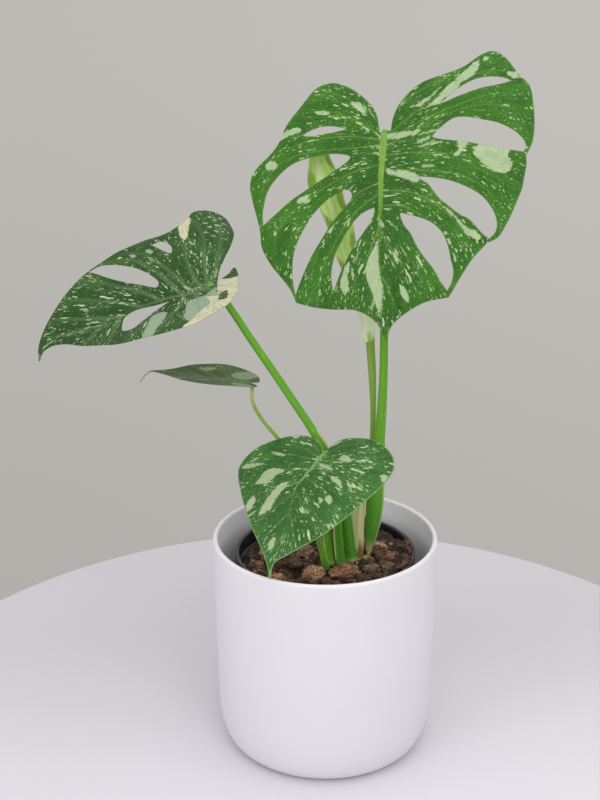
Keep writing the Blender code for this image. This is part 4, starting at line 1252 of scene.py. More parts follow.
def leaf_material(name, looks):
    """Waxy leaf: two greens, flecks and cream patches, paler veins, margin and underside, with painted shade
    beside the midrib and painted sheen along the laterals.
    """
    material, nodes, shader = new_material(name)
    place, flow, run = (nodes.attribute("leaf_" + key) for key in ("place", "flow", "run"))
    marks, veins, fade = (nodes.parts(nodes.attribute("leaf_" + key)) for key in ("marks", "veins", "fade"))
    from_rib = nodes.parts(run)[1]

    # Two greens, with painted shade that darkens the blade beside the midrib
    grain = nodes.streaks(run, 0.55, 0.045, looks.seed)
    cloud = nodes.ramp(nodes.noise(place, 0.055, 3.0, 0.6), 0.38, 0.62)
    bands = nodes.ramp(grain["Bands"], 0.36, 0.66)
    grit = nodes.ramp(nodes.noise(place, 0.75, 3.0, 0.7), 0.35, 0.65)
    tone = nodes.times_plus(bands, 0.35, nodes.times(cloud, 0.35))
    tone = nodes.times_plus(grit, 0.35, tone)
    colour = nodes.mix(tone, looks.deep_green, looks.green)
    # Painted shade: deeper green beside the midrib stands in for the shading of the blade there.
    colour = nodes.mix(nodes.ramp(from_rib, 42.0, 4.0, 0.0, 0.45), colour, looks.deep_green)

    # Flecks of five sizes: cell, width, stretch, part of the share, strength
    crowd = nodes.ramp(nodes.noise(place, 0.05, 3.0), 0.36, 0.64, 0.35, 1.5)
    pale_share = nodes.times(crowd, looks.flecks)
    lengthen = nodes.ramp(from_rib, 8.0, 55.0, 1.35, 0.7)
    for cell, width, stretch, part, strength in (
        (1.3, 0.15, 2.6, 2.0, 0.27), (2.0, 0.13, 3.0, 0.95, 0.62), (3.0, 0.12, 3.6, 0.9, 0.85),
        (4.4, 0.11, 4.4, 0.75, 0.9), (7.0, 0.09, 5.4, 0.55, 0.9),
    ):
        portion = nodes.times(pale_share, part)
        drawn = nodes.times(lengthen, stretch)
        fleck = nodes.flecks(place, flow, cell, width, drawn, portion, looks.seed + cell)
        tint = nodes.mix(fleck["Tone"], looks.pale_green, looks.cream)
        colour = nodes.mix(nodes.times(fleck["Mask"], strength), colour, tint)

    # Grey and cream patches with torn edges and green islands
    fine = nodes.streaks(run, 1.5, 0.13, looks.seed + 5.0)
    tear = nodes.times(nodes.centred(nodes.noise(place, 0.42, 4.0, 0.65)), 2.4)
    tear = nodes.times_plus(nodes.centred(fine["Bands"]), looks.tearing, tear)
    islands = nodes.times(nodes.flecks(place, flow, 2.2, 0.13, 3.2, 0.14, looks.seed + 40.0)["Mask"], 0.65)
    grey = nodes.ramp(nodes.math("ADD", marks[1], tear), -0.25, 0.35)
    patch = nodes.ramp(nodes.math("ADD", marks[0], tear), -0.15, 0.5)
    patch = nodes.times(patch, nodes.math("SUBTRACT", 1.0, islands))
    patch = nodes.times(patch, nodes.ramp(fine["Bands"], 0.36, 0.56, 0.62, 1.0))
    ivory = nodes.mix(nodes.ramp(fine["Bands"], 0.34, 0.50), looks.cream, looks.patch)
    colour = nodes.mix(nodes.times(grey, 0.9), colour, looks.grey_green)
    colour = nodes.mix(patch, colour, ivory)

    # Laterals with their painted sheen, midrib, margin and underside
    shown = nodes.times(fade[1], looks.veins)
    # Painted sheen: soft pale bands along the laterals stand in for the wax's sheen there.
    halo = nodes.times(nodes.ramp(veins[1], 2.4, 0.4), nodes.times(shown, looks.halo))
    colour = nodes.mix(halo, colour, looks.pale_green)
    lateral = nodes.times(nodes.ramp(veins[1], 0.5, 0.1), shown)
    colour = nodes.mix(lateral, colour, looks.rib)
    rib_fade = nodes.ramp(fade[0], looks.rib_length, looks.rib_length * 0.35, 0.12, 1.0)
    rib = nodes.times(nodes.ramp(veins[0], 1.15, 0.7), rib_fade)
    rib_tone = nodes.mix(nodes.ramp(grit, 0.2, 0.8), looks.rib, shade(looks.rib, 0.82))
    colour = nodes.mix(rib, colour, rib_tone)
    edge = nodes.times(nodes.ramp(fade[2], 0.7, 0.2), looks.margin)
    colour = nodes.mix(edge, colour, looks.rib)
    under = nodes.times(nodes.ramp(veins[2], 0.4, 0.6), 0.55)
    colour = nodes.mix(under, colour, looks.underside)

    rough = nodes.times_plus(nodes.noise(place, 0.5, 3.0), 0.14, looks.roughness - 0.05)
    rough = nodes.times_plus(under, 0.25, rough)
    cells = nodes.noise(place, 2.6, 2.0)
    height = nodes.times_plus(grain["Bands"], 0.7, nodes.times(cells, 0.3))
    nodes.surface(shader, colour, rough, height, 0.4, 0.0006, 0.22)
    shader["IOR"].default_value = 1.38
    return material


def stalk_material(name, looks, low, high, knuckle, foot_height=4.0):
    """Juicy stalk: fine lengthwise bands, pale flecks, a pale sheath edge and a paler foot."""
    material, nodes, shader = new_material(name)
    where = nodes.attribute("stalk_place")
    wing = nodes.parts(where)[2]
    marks = nodes.parts(nodes.attribute("stalk_marks"))
    grain = nodes.streaks(where, 1.5, 0.03, 4.0)
    colour = nodes.mix(nodes.ramp(marks[0], 2.0, 90.0), low, high)
    stripes = nodes.times(nodes.ramp(grain["Bands"], 0.5, 0.72), looks.stripes)
    colour = nodes.mix(stripes, colour, looks.pale)
    colour = nodes.mix(nodes.ramp(grain["Cloud"], 0.62, 0.35, 0.0, 0.35), colour, low)
    spots = nodes.flecks(where, (0, 1, 0), 2.4, 0.09, 4.5, looks.flecks, 9.0)["Mask"]
    colour = nodes.mix(nodes.times(spots, 0.55), colour, looks.pale)
    colour = nodes.mix(nodes.times(nodes.ramp(wing, 0.35, 0.9), 0.85), colour, looks.pale)
    colour = nodes.mix(nodes.ramp(marks[0], foot_height, 0.5, 0.0, 0.9), colour, looks.foot)
    colour = nodes.mix(nodes.times(marks[2], 0.6), colour, knuckle)
    rough = nodes.times_plus(grain["Bands"], 0.16, 0.32)
    nodes.surface(shader, colour, rough, grain["Bands"], 0.3, 0.0004, 0.2)
    return material


def rolled_material(name, looks):
    """New leaf: yellow-green with a white stripe on the midrib and olive rolled edges; its greens are lifted
    as painted light for the light shining through it.
    """
    material, nodes, shader = new_material(name)
    where = nodes.attribute("sheet_place")
    across, height, _ = nodes.parts(where)
    place = nodes.stretch(where, (11.0, 1.0, 0.0))
    grain = nodes.streaks(place, 1.1, 0.05, 2.0)
    ragged = nodes.times(nodes.centred(grain["Bands"]), 0.3)
    side = nodes.math("ADD", nodes.math("ABSOLUTE", across), ragged)
    above = nodes.math("SUBTRACT", height, NEW_LEAF["twist_from"])
    turn = nodes.times(above, math.tau / NEW_LEAF["twist"])
    swing = nodes.times(nodes.math("COSINE", turn), nodes.math("SIGN", across))
    side = nodes.times_plus(swing, 0.10, side)
    # The greens carry painted light, standing in for light shining through the thin leaf.
    colour = nodes.mix(nodes.ramp(grain["Cloud"], 0.4, 0.62), looks.green, looks.light_green)
    colour = nodes.mix(nodes.ramp(side, 0.32, 0.44), colour, looks.olive)
    spots = nodes.flecks(place, (0, 1, 0), 1.6, 0.10, 3.6, 0.15, 6.0)["Mask"]
    colour = nodes.mix(nodes.times(spots, 0.5), colour, looks.cream)
    for centre, half, strength in ((0.15, 0.030, 0.95), (0.04, 0.018, 0.5), (-0.12, 0.012, 0.35)):
        off = nodes.math("ABSOLUTE", nodes.math("SUBTRACT", across, centre))
        line = nodes.times(nodes.ramp(off, half * 1.5, half * 0.5), strength)
        colour = nodes.mix(line, colour, looks.cream)
    low = nodes.times(nodes.ramp(height, 284.0, 274.0), nodes.ramp(height, 256.0, 261.0))
    colour = nodes.mix(nodes.times(low, 0.85), colour, looks.cream)
    middle = nodes.ramp(nodes.math("ABSOLUTE", across), 0.3, 0.1)
    spot = nodes.times(nodes.ramp(height, 264.0, 260.0), middle)
    colour = nodes.mix(nodes.times(spot, 0.7), colour, looks.olive)
    rough = nodes.times_plus(grain["Bands"], 0.15, 0.36)
    nodes.surface(shader, colour, rough, grain["Bands"], 0.3, 0.0004)
    return material


def sheath_material(name, middle, edge, foot, edge_share):
    """Thin sheath, fresh or dried, with a differently coloured edge and foot."""
    material, nodes, shader = new_material(name)
    where = nodes.attribute("sheet_place")
    across, up, _ = nodes.parts(where)
    grain = nodes.streaks(nodes.stretch(where, (4.0, 40.0, 0.0)), 1.6, 0.05, 8.0)
    side = nodes.times_plus(nodes.centred(grain["Bands"]), 0.6, nodes.math("ABSOLUTE", across))
    colour = nodes.mix(nodes.times(nodes.ramp(side, 0.62, 0.86), edge_share), middle, edge)
    colour = nodes.mix(nodes.ramp(grain["Bands"], 0.5, 0.75, 0.0, 0.4), colour, shade(middle, 0.6))
    torn = nodes.times_plus(nodes.centred(grain["Cloud"]), 0.5, up)
    colour = nodes.mix(nodes.ramp(torn, 0.30, 0.08, 0.0, 0.9), colour, foot)
    rough = nodes.times_plus(grain["Bands"], 0.2, 0.45)
    nodes.surface(shader, colour, rough, grain["Bands"], 0.5, 0.0004)
    return material


def bark_material(name, light, dark, dust):
    """Bark and crumbs: layered grain, low spots darkened with painted shade, and a little pale dust on top.
    """
    material, nodes, shader = new_material(name)
    place = nodes.millimetres()
    layers = nodes.noise(nodes.stretch(place, (0.25, 0.25, 1.4)), 1.0, 4.0, 0.65, 0.6)
    blotch = nodes.noise(place, 0.4, 4.0, 0.65)
    pits_relief_and_shade = nodes.noise(place, 0.9, 4.0, 0.7)
    colour = nodes.mix(nodes.ramp(layers, 0.40, 0.60), dark, light)
    colour = nodes.mix(nodes.ramp(blotch, 0.53, 0.66, 0.0, 0.8), colour, dust)
    # Painted shade: the colour darkens where the bump sinks, in its low spots.
    colour = nodes.mix(nodes.ramp(pits_relief_and_shade, 0.50, 0.38, 0.0, 0.9), colour, shade(dark, 0.35))
    height = nodes.times_plus(layers, 0.6, nodes.times(pits_relief_and_shade, 0.4))
    nodes.surface(shader, colour, nodes.times_plus(blotch, 0.3, 0.62), height, 0.8, 0.0008)
    return material


def glaze_material(name, pot):
    """Matte glaze: faint clouding, a powdery surface and a bare clay foot, with painted light brightening the
    inside wall and painted shade greying the glaze towards the foot.
    """
    material, nodes, shader = new_material(name)
    where = nodes.add("TexCoord").outputs["Object"]
    place = nodes.vector("SCALE", where, scale=1000.0)
    cloud = nodes.noise(place, 0.018, 4.0, 0.55)
    powder = nodes.noise(place, 1.6, 3.0, 0.6)
    colour = nodes.mix(nodes.ramp(cloud, 0.35, 0.65), pot.glaze, pot.glaze_cloud)
    east, north, up = nodes.parts(where)
    reach = nodes.vector("LENGTH", nodes.add("CombineXYZ", {0: east, 1: north}).outputs[0])
    # Painted light: the inside wall above the mix gets a brighter glaze, standing in for light that reaches
    # into the pot.
    lining_painted_light = nodes.ramp(reach, POT_HIGH.x - pot.wall * 0.85, POT_HIGH.x - pot.wall * 1.05)
    lining_painted_light = nodes.times(lining_painted_light, nodes.ramp(up, 0.050, 0.060))
    # Painted shade: the glaze greys towards the foot, standing in for the lower pot getting less light.
    colour = nodes.mix(nodes.ramp(up, 0.125, 0.02, 0.0, 1.0), colour, pot.glaze_painted_shade)
    colour = nodes.mix(lining_painted_light, colour, pot.lining_painted_light)
    colour = nodes.mix(nodes.ramp(up, 0.0011, 0.0005), colour, pot.clay)
    rough = nodes.times_plus(powder, 0.12, pot.roughness - 0.06)
    nodes.surface(shader, colour, rough, powder, 0.06, 0.0002, 0.4)
    return material


def plastic_material(name, pot):
    """Moulded black plastic with a fine grain and dust from the mix near the rim."""
    material, nodes, shader = new_material(name)
    where = nodes.add("TexCoord").outputs["Object"]
    place = nodes.vector("SCALE", where, scale=1000.0)
    smear = nodes.noise(nodes.stretch(place, (1, 1, 0.35)), 0.16, 4.0, 0.6)
    grain = nodes.noise(place, 3.2, 2.0, 0.6)
    high = nodes.ramp(nodes.parts(where)[2], 0.112, 0.128)
    dust = nodes.times(nodes.ramp(smear, 0.5, 0.75), nodes.times_plus(high, 0.4, 0.1))
    colour = nodes.mix(dust, pot.plastic, pot.dust)
    nodes.surface(shader, colour, nodes.times_plus(smear, 0.3, 0.22), grain, 0.12, 0.0003)
    return material


def mix_material(name, mix):
    """Damp potting mix: near-black peat with brown and tan bits."""
    material, nodes, shader = new_material(name)
    place = nodes.millimetres()
    bits = nodes.add("TexVoronoi", {"Vector": place, "Scale": 0.45, "Randomness": 1.0}).outputs
    tone = nodes.add("SeparateColor", {0: bits["Color"]}).outputs
    cloud = nodes.noise(place, 0.35, 4.0, 0.65)
    colour = nodes.mix(nodes.ramp(cloud, 0.4, 0.66), mix.peat, mix.brown)
    colour = nodes.mix(nodes.ramp(tone[0], 0.80, 0.9, 0.0, 0.6), colour, mix.tan)
    colour = nodes.mix(nodes.ramp(bits["Distance"], 0.45, 0.9, 0.0, 0.8), colour, mix.peat)
    grit = nodes.noise(place, 1.1, 4.0, 0.7)
    nodes.surface(shader, colour, nodes.times_plus(cloud, 0.35, 0.6), grit, 0.9, 0.0012)
    return material


def table_material(name, studio):
    """Satin white table top with a barely uneven sheen, its colour painted brighter towards the front and
    darker towards the left as painted light falloff.
    """
    material, nodes, shader = new_material(name)
    place = nodes.add("TexCoord").outputs["Object"]
    cloud = nodes.noise(place, 7.0, 3.0, 0.5)
    worn = nodes.mix(cloud, studio.table, shade(studio.table, 0.985))
    east, north, _ = nodes.parts(place)
    # Painted light falloff: the top is brighter towards the front and darker towards the left.
    nearer = nodes.ramp(north, 0.15, -0.09, 0.91, 1.08)
    front = nodes.times(nearer, nodes.ramp(east, -0.25, 0.05, 0.945, 1.0))
    nodes.put(shader["Base Color"], nodes.vector("SCALE", worn, scale=front))
    nodes.put(shader["Roughness"], nodes.times_plus(cloud, 0.06, 0.42))
    shader["Specular IOR Level"].default_value = 0.3
    return material


# ---------------------------------------------------------------- settings

def colour(name, description, default):
    return FloatVectorProperty(name=name, description=description, subtype="COLOR", size=3, min=0, max=1,
                               default=default)


def length(name, description, default):
    return FloatProperty(name=name, description=description, unit="LENGTH", min=0, default=default)


def share(name, description, default):
    return FloatProperty(name=name, description=description, subtype="FACTOR", min=0, max=1, default=default)


def count(name, description, default):
    return IntProperty(name=name, description=description, min=0, default=default)


def number(name, description, default):
    return FloatProperty(name=name, description=description, min=0, default=default)


class PotSettings(PropertyGroup):
    taper: length("Taper", "How much wider the cover pot is at its lip than at its foot", 0.0019)
    wall: length("Wall", "Thickness of the cover pot's wall", 0.0031)
    floor: length("Floor", "Thickness of the cover pot's floor", 0.006)
    corner_across: length("Corner across", "How far the rounded lower edge reaches in", 0.0162)
    corner_up: length("Corner up", "How far the rounded lower edge reaches up", 0.0406)
    roughness: share("Roughness", "Roughness of the matte glaze", 0.5)
    glaze: colour("Glaze", "Matte white glaze", (0.80, 0.775, 0.81))
    glaze_cloud: colour("Glaze clouding", "Second tone of the glaze", (0.785, 0.765, 0.79))
    # Painted shade: greyer glaze towards the foot, standing in for the lower pot getting less light.
    glaze_painted_shade: colour("Lower glaze", "Slightly greyer glaze towards the foot", (0.735, 0.715, 0.745))
    # Painted light: a brighter glaze for the inside wall, standing in for light that reaches into the pot.
    lining_painted_light: colour("Lining", "Brighter glaze inside", (0.96, 0.94, 0.97))
    clay: colour("Clay", "Bare clay under the foot", (0.62, 0.54, 0.46))


class NurserySettings(PropertyGroup):
    wall: length("Wall", "Thickness of the nursery pot's wall", 0.0014)
    holes: count("Drainage holes", "Number of drainage holes", 6)
    hole_radius: length("Hole radius", "Radius of each drainage hole", 0.0035)
    hole_circle: length("Hole circle", "Distance of the holes from the middle", 0.026)
    plastic: colour("Plastic", "Black moulded plastic", (0.012, 0.012, 0.013))
    dust: colour("Dust", "Dry dust from the mix", (0.16, 0.13, 0.10))


class MixSettings(PropertyGroup):
    seed: count("Seed", "Arrangement of the crumbs", 5)
    lumps: count("Lumps", "Half-sunk lumps in the surface", 520)
    peat: colour("Peat", "Damp dark peat", (0.026, 0.015, 0.009))
    brown: colour("Brown", "Brown bits", (0.090, 0.048, 0.026))
    tan: colour("Tan", "Tan bits", (0.17, 0.095, 0.045))


LEAF_SETTINGS = {
    "deep_green": (colour, "Darker tissue"),
    "green": (colour, "Lighter tissue"),
    "pale_green": (colour, "Half-variegated flecks"),
    "cream": (colour, "Flecks and patches"),
    "patch": (colour, "Second tone of the large patches"),
    "grey_green": (colour, "Silvery patches"),
    "rib": (colour, "Midrib, laterals and margin"),
    "underside": (colour, "Paler lower face"),
    "flecks": (share, "Share of the cells that hold a fleck"),
    "veins": (share, "How clearly the laterals show"),
    "margin": (share, "How clearly the pale margin shows"),
    # Painted sheen along the laterals, as pale green bands.
    "halo": (share, "Paler bands along the laterals"),
    "tearing": (number, "How streaky the patches' edges are"),
    "rib_length": (number, "Millimetres over which the midrib fades"),
    "roughness": (share, "Roughness of the wax"),
    "seed": (number, "Arrangement of the flecks"),
}


def leaf_settings(**defaults):
    """The settings that every blade has, with one leaf's own defaults."""
    return {key: kind(key.replace("_", " ").capitalize(), description, defaults[key])
            for key, (kind, description) in LEAF_SETTINGS.items()}


class BigLeafSettings(PropertyGroup):
    __annotations__ = leaf_settings(
        deep_green=(0.020, 0.088, 0.009), green=(0.052, 0.195, 0.014), pale_green=(0.20, 0.37, 0.09),
        cream=(0.53, 0.63, 0.36), patch=(0.39, 0.49, 0.285), grey_green=(0.36, 0.46, 0.30),
        rib=(0.20, 0.38, 0.060), underside=(0.15, 0.30, 0.095), flecks=0.24, veins=0.5, margin=0.22,
        rib_length=75, roughness=0.40, seed=1.0, tearing=3.0, halo=0.1,
    )


class LeftLeafSettings(PropertyGroup):
    __annotations__ = leaf_settings(
        deep_green=(0.012, 0.048, 0.006), green=(0.032, 0.106, 0.013), pale_green=(0.18, 0.30, 0.13),
        cream=(0.56, 0.62, 0.42), patch=(0.56, 0.53, 0.34), grey_green=(0.27, 0.36, 0.24),
        rib=(0.09, 0.15, 0.05), underside=(0.15, 0.27, 0.10), flecks=0.24, veins=0.5, margin=0.15,
        rib_length=60, roughness=0.42, seed=17.0, tearing=1.6, halo=0.65,
    )


class FrontLeafSettings(PropertyGroup):
    __annotations__ = leaf_settings(
        deep_green=(0.026, 0.092, 0.018), green=(0.066, 0.200, 0.038), pale_green=(0.24, 0.41, 0.14),
        cream=(0.56, 0.68, 0.42), patch=(0.37, 0.45, 0.27), grey_green=(0.30, 0.40, 0.25),
        rib=(0.20, 0.37, 0.11), underside=(0.15, 0.29, 0.10), flecks=0.26, veins=0.35, margin=0.75,
        rib_length=40, roughness=0.42, seed=29.0, tearing=3.0, halo=0.1,
    )


class SideLeafSettings(PropertyGroup):
    __annotations__ = leaf_settings(
        deep_green=(0.054, 0.098, 0.030), green=(0.135, 0.205, 0.075), pale_green=(0.22, 0.31, 0.14),
        cream=(0.46, 0.52, 0.34), patch=(0.40, 0.48, 0.30), grey_green=(0.26, 0.33, 0.20),
        rib=(0.14, 0.22, 0.09), underside=(0.16, 0.27, 0.10), flecks=0.16, veins=0.4, margin=0.4,
        rib_length=66, roughness=0.45, seed=41.0, tearing=3.5, halo=0.3,
    )


class StalkSettings(PropertyGroup):
    green: colour("Green", "Upper stalks", (0.142, 0.385, 0.021))
    low_green: colour("Low green", "Sheathed lower stalks", (0.086, 0.300, 0.028))
    light_green: colour("Light green", "Young stalks", (0.260, 0.400, 0.070))
    pale: colour("Pale", "Stripes and sheath edges", (0.52, 0.60, 0.28))
    foot: colour("Foot", "Pale foot in the mix", (0.50, 0.46, 0.20))
    straw: colour("Straw", "Dried sheath", (0.70, 0.67, 0.30))
    brown: colour("Brown", "Brown edge of the dried sheath", (0.20, 0.105, 0.035))
    stripes: share("Stripes", "How clearly the lengthwise bands show", 0.13)
    flecks: share("Flecks", "Share of the cells that hold a fleck", 0.05)


class NewLeafSettings(PropertyGroup):
    # Painted light: both greens are lifted to stand in for light shining through the thin rolled leaf.
    green: colour("Green", "Rolled leaf", (0.52, 0.80, 0.12))
    light_green: colour("Light green", "Second tone of the rolled leaf", (0.70, 0.95, 0.30))
    olive: colour("Olive", "Rolled edges", (0.28, 0.46, 0.040))
    cream: colour("Cream", "White stripe on the midrib", (0.82, 0.88, 0.62))


class StudioSettings(PropertyGroup):
    table: colour("Table", "White table top", (0.652, 0.638, 0.664))
    wall: colour("Wall", "Warm grey wall", (0.512, 0.497, 0.472))
    table_radius: length("Table radius", "Radius of the round table", 0.3106)
    ambient: number("Ambient", "Brightness of the room", 1.54)
    key: number("Key light", "Watts of the large front light", 7.7)
    lens: number("Lens", "Focal length in millimetres", 60.75)


# ---------------------------------------------------------------- operators

def grow_stalk(name, shape, looks, node, leaf=None, young=False, foot_height=4.0):
    """A leaf's stalk; a young one is paler."""
    if young:
        tones, slot = (looks.green, looks.light_green, looks.pale), "pale_stalk"
    else:
        tones, slot = (looks.low_green, looks.green, looks.light_green), "stalk"
    title = node.replace("_", " ").capitalize()
    stalk_piece(name, shape, stalk_material(title, looks, *tones, foot_height), node, slot, leaf)


def grow_leaf(kind, leaf, shape, thickness, relief, young=False, foot_height=4.0):
    """One leaf's blade and stalk, with the looks of its own settings."""
    scene = bpy.context.scene
    looks = getattr(scene, f"monstera_{kind}_leaf")
    node = f"{kind}_leaf_blade"
    material = leaf_material(f"{kind.capitalize()} leaf", looks)
    blade_piece(f"{kind}_blade", leaf, material, thickness, relief, node, node)
    grow_stalk(f"{kind}_stalk", shape, scene.monstera_stalk, f"{kind}_leaf_stalk", leaf, young, foot_height)


class MONSTERA_OT_pots(Operator):
    """Makes the cover pot and the nursery pot"""

    bl_idname = "monstera.pots"
    bl_label = "Pots"

    def execute(self, context):
        pot, inner = context.scene.monstera_pot, context.scene.monstera_nursery
        glaze = glaze_material("Matte white glaze", pot)
        new_piece("cover_pot_ceramic", *turned(cover_profile(pot), 192), glaze, "cover_pot", "cover_pot", 40)
        plastic = plastic_material("Black nursery plastic", inner)
        made = new_piece("nursery_pot_plastic", *turned(nursery_profile(inner), 128), plastic,
                         "nursery_pot", "nursery_pot", 30)
        drill(made, inner)
        return {"FINISHED"}


class MONSTERA_OT_mix(Operator):
    """Makes the potting mix with its crumbs, fibres and bark"""

    bl_idname = "monstera.mix"
    bl_label = "Potting mix"

    def execute(self, context):
        mix = context.scene.monstera_mix
        dice, lumps = mix_bed(mix, mix_material("Damp potting mix", mix))
        materials = {slot: bark_material(slot.replace("_", " ").capitalize(), *tones)
                     for slot, tones in BARK.items()}
        for number in range(1, 20):
            slot = list(BARK)[(number - 1) % 4]
            bark_chip(number, materials[slot], slot)
        for name, number, sizes, slot, detail, spilled in (
            ("crumbs_dark", 190, (2.5, 7.5), "dark_bark", 3, None),
            ("crumbs_red", 45, (2, 5), "red_bark", 3, None),
            ("crumbs_tan", 30, (1.5, 4), "tan_bark", 3, None),
            ("crumbs_fine", 700, (0.7, 2.4), "dark_bark", 1, None),
            ("crumbs_on_rim", 70, (1.8, 5.0), "dark_bark", 2, (-30, 16)),
        ):
            crumbs(name, dice, lumps, number, sizes, materials[slot], slot, detail, spilled)
        fibres("coir_fibres", dice, lumps, 60, materials["tan_bark"], "tan_bark")
        return {"FINISHED"}


class MONSTERA_OT_stem(Operator):
    """Makes the short creeping stem that the stalks rise from"""

    bl_idname = "monstera.stem"
    bl_label = "Stem base"

    def execute(self, context):
        looks = context.scene.monstera_stalk
        material = stalk_material("Stem base", looks, looks.foot, looks.low_green, looks.brown)
        stalk_piece("creeping_stem", STEM_BASE, material, "stem_base", "stalk", sides=40)
        return {"FINISHED"}


class MONSTERA_OT_big_leaf(Operator):
    """Makes the big leaf's blade and its stalk"""

    bl_idname = "monstera.big_leaf"
    bl_label = "Big leaf"

    def execute(self, context):
        grow_leaf("big", BIG_LEAF, BIG_STALK, thickness=0.55, relief=1.0, foot_height=14.0)
        return {"FINISHED"}


class MONSTERA_OT_left_leaf(Operator):
    """Makes the left leaf's blade and its stalk"""

    bl_idname = "monstera.left_leaf"
    bl_label = "Left leaf"

    def execute(self, context):
        grow_leaf("left", LEFT_LEAF, LEFT_STALK, thickness=0.5, relief=0.8)
        return {"FINISHED"}


class MONSTERA_OT_front_leaf(Operator):
    """Makes the heart-shaped front leaf's blade and its stalk"""

    bl_idname = "monstera.front_leaf"
    bl_label = "Front leaf"

    def execute(self, context):
        grow_leaf("front", FRONT_LEAF, FRONT_STALK, thickness=0.5, relief=0.7)
        return {"FINISHED"}


class MONSTERA_OT_side_leaf(Operator):
    """Makes the small side leaf's blade and its stalk"""

    bl_idname = "monstera.side_leaf"
    bl_label = "Side leaf"

    def execute(self, context):
        grow_leaf("side", SIDE_LEAF, SIDE_STALK, thickness=0.45, relief=0.5, young=True)
        return {"FINISHED"}


class MONSTERA_OT_new_growth(Operator):
    """Makes the rolled new leaf and its stalk, the young stem and the dried sheath"""

    bl_idname = "monstera.new_growth"
    bl_label = "New growth"

    def execute(self, context):
        stalk, new = context.scene.monstera_stalk, context.scene.monstera_new_leaf
        grow_stalk("new_stalk", NEW_STALK, stalk, "new_leaf_stalk", young=True)
        rolled_leaf("rolled_leaf", NEW_LEAF, rolled_material("Rolled new leaf", new), "new_leaf", "new_leaf")
        fresh = sheath_material("Young sheath", stalk.green, stalk.pale, stalk.low_green, 0.9)
        folded_sheath("young_sheath", YOUNG_STEM, fresh, "young_stem", "pale_stalk", 1.3, 0.5, 3)
        dry = sheath_material("Dried sheath", stalk.straw, stalk.brown, stalk.brown, 0.5)
        folded_sheath("papery_sheath", DRIED_SHEATH, dry, "dried_sheath", "dried_sheath", 1.15, 5.0, 9)
        return {"FINISHED"}


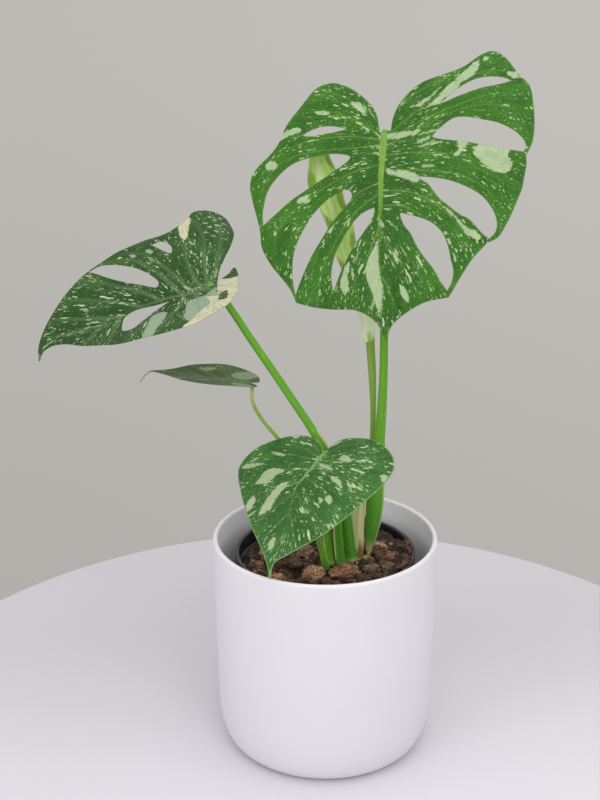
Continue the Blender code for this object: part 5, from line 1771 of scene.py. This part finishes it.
class MONSTERA_OT_studio(Operator):
    """Sets up the white table, the soft light, the wall colour with painted light falloff, and the camera"""

    bl_idname = "monstera.studio"
    bl_label = "Studio"

    def execute(self, context):
        scene, studio = context.scene, context.scene.monstera_studio
        radius = studio.table_radius
        profile = [(0, 0), (radius * 0.5, 0), (radius - 0.004, 0)]
        profile += arc((radius - 0.004, -0.004), 0.004, 90, -45, 10)
        profile += arc((radius - 0.004, -0.014), 0.004, -60, -90, 3)
        profile += [(radius * 0.9, -0.028), (0, -0.028)]
        table = new_mesh("table_top", *turned(profile, 256), table_material("White table", studio))
        table.location = (*TABLE_PLACE, POT_LOW.z - 0.0001)

        world = bpy.data.worlds.new("Room")
        scene.world = world
        world.use_nodes = True
        nodes = Nodes(world.node_tree)
        background = world.node_tree.nodes["Background"].inputs
        east, _, up = nodes.parts(nodes.add("TexCoord").outputs["Generated"])
        # Painted light falloff on the wall, which only the camera sees: darker towards the left and towards
        # the bottom.
        wall = nodes.mix(nodes.ramp(east, -0.35, 0.35), shade(studio.wall, 0.92), studio.wall)
        wall = nodes.vector("SCALE", wall, scale=nodes.ramp(up, -0.50, -0.05, 0.93, 1.07))
        room = nodes.mix(nodes.ramp(up, -0.3, 0.9), (0.36, 0.355, 0.37), (0.58, 0.575, 0.59))
        lit = nodes.vector("SCALE", room, scale=studio.ambient)
        seen = nodes.add("LightPath").outputs["Is Camera Ray"]
        nodes.put(background["Color"], nodes.mix(seen, lit, wall))
        for name, place, size, power, tint in (
            ("key_light", (0.45, -1.40, 1.15), 1.0, studio.key, (1.0, 0.99, 0.98)),
            ("fill_light", (-1.25, -1.20, 0.95), 1.1, studio.key * 0.75, (1.0, 0.92, 1.0)),
            ("top_light", (0.10, -0.30, 1.75), 1.2, studio.key * 0.62, (1.0, 1.0, 1.0)),
        ):
            light = bpy.data.lights.new(name, "AREA")
            light.shape, light.size, light.energy, light.color = "DISK", size, power, tint
            lamp = new_object(name, light)
            lamp.visible_camera = False
            lamp.location = place
            lamp.rotation_euler = (Vector((0, 0, 0.2)) - Vector(place)).to_track_quat("-Z", "Y").to_euler()

        lens = bpy.data.cameras.new("front_view")
        lens.lens, lens.sensor_width, lens.sensor_fit = studio.lens, 36, "AUTO"
        lens.clip_start, lens.clip_end = 0.05, 20
        camera = new_object("front_view", lens)
        camera.location = CAMERA_PLACE
        tilt = Matrix.Rotation(math.radians(90 - CAMERA_DOWN), 3, "X")
        roll = Matrix.Rotation(math.radians(CAMERA_TURN), 3, "Z")
        camera.rotation_euler = (tilt @ roll).to_euler()
        scene.camera = camera
        scene.view_settings.view_transform = "Standard"
        return {"FINISHED"}


class MONSTERA_PT_panel(Panel):
    """Lists the steps that build the plant"""

    bl_label = "Potted monstera"
    bl_idname = "MONSTERA_PT_panel"
    bl_space_type = "VIEW_3D"
    bl_region_type = "UI"
    bl_category = "Monstera"

    def draw(self, context):
        column = self.layout.column(align=True)
        for operator in OPERATORS:
            column.operator(operator.bl_idname)
        for name in SETTINGS:
            box = self.layout.box()
            box.label(text=name.replace("monstera_", "").replace("_", " ").capitalize())
            group = getattr(context.scene, name)
            for key in group.bl_rna.properties.keys():
                if key not in ("rna_type", "name"):
                    box.prop(group, key)


OPERATORS = (
    MONSTERA_OT_studio, MONSTERA_OT_pots, MONSTERA_OT_mix, MONSTERA_OT_stem, MONSTERA_OT_big_leaf,
    MONSTERA_OT_left_leaf, MONSTERA_OT_front_leaf, MONSTERA_OT_side_leaf, MONSTERA_OT_new_growth,
)
SETTINGS = {
    "monstera_pot": PotSettings,
    "monstera_nursery": NurserySettings,
    "monstera_mix": MixSettings,
    "monstera_big_leaf": BigLeafSettings,
    "monstera_left_leaf": LeftLeafSettings,
    "monstera_front_leaf": FrontLeafSettings,
    "monstera_side_leaf": SideLeafSettings,
    "monstera_stalk": StalkSettings,
    "monstera_new_leaf": NewLeafSettings,
    "monstera_studio": StudioSettings,
}


def register():
    for kind in (*SETTINGS.values(), *OPERATORS, MONSTERA_PT_panel):
        bpy.utils.register_class(kind)
    for name, kind in SETTINGS.items():
        setattr(bpy.types.Scene, name, PointerProperty(type=kind))


def unregister():
    for name in SETTINGS:
        delattr(bpy.types.Scene, name)
    for kind in (MONSTERA_PT_panel, *reversed(OPERATORS), *reversed(SETTINGS.values())):
        bpy.utils.unregister_class(kind)


def main():
    register()
    for operator in OPERATORS:
        group, name = operator.bl_idname.split(".")
        getattr(getattr(bpy.ops, group), name)()


if __name__ == "__main__":
    main()
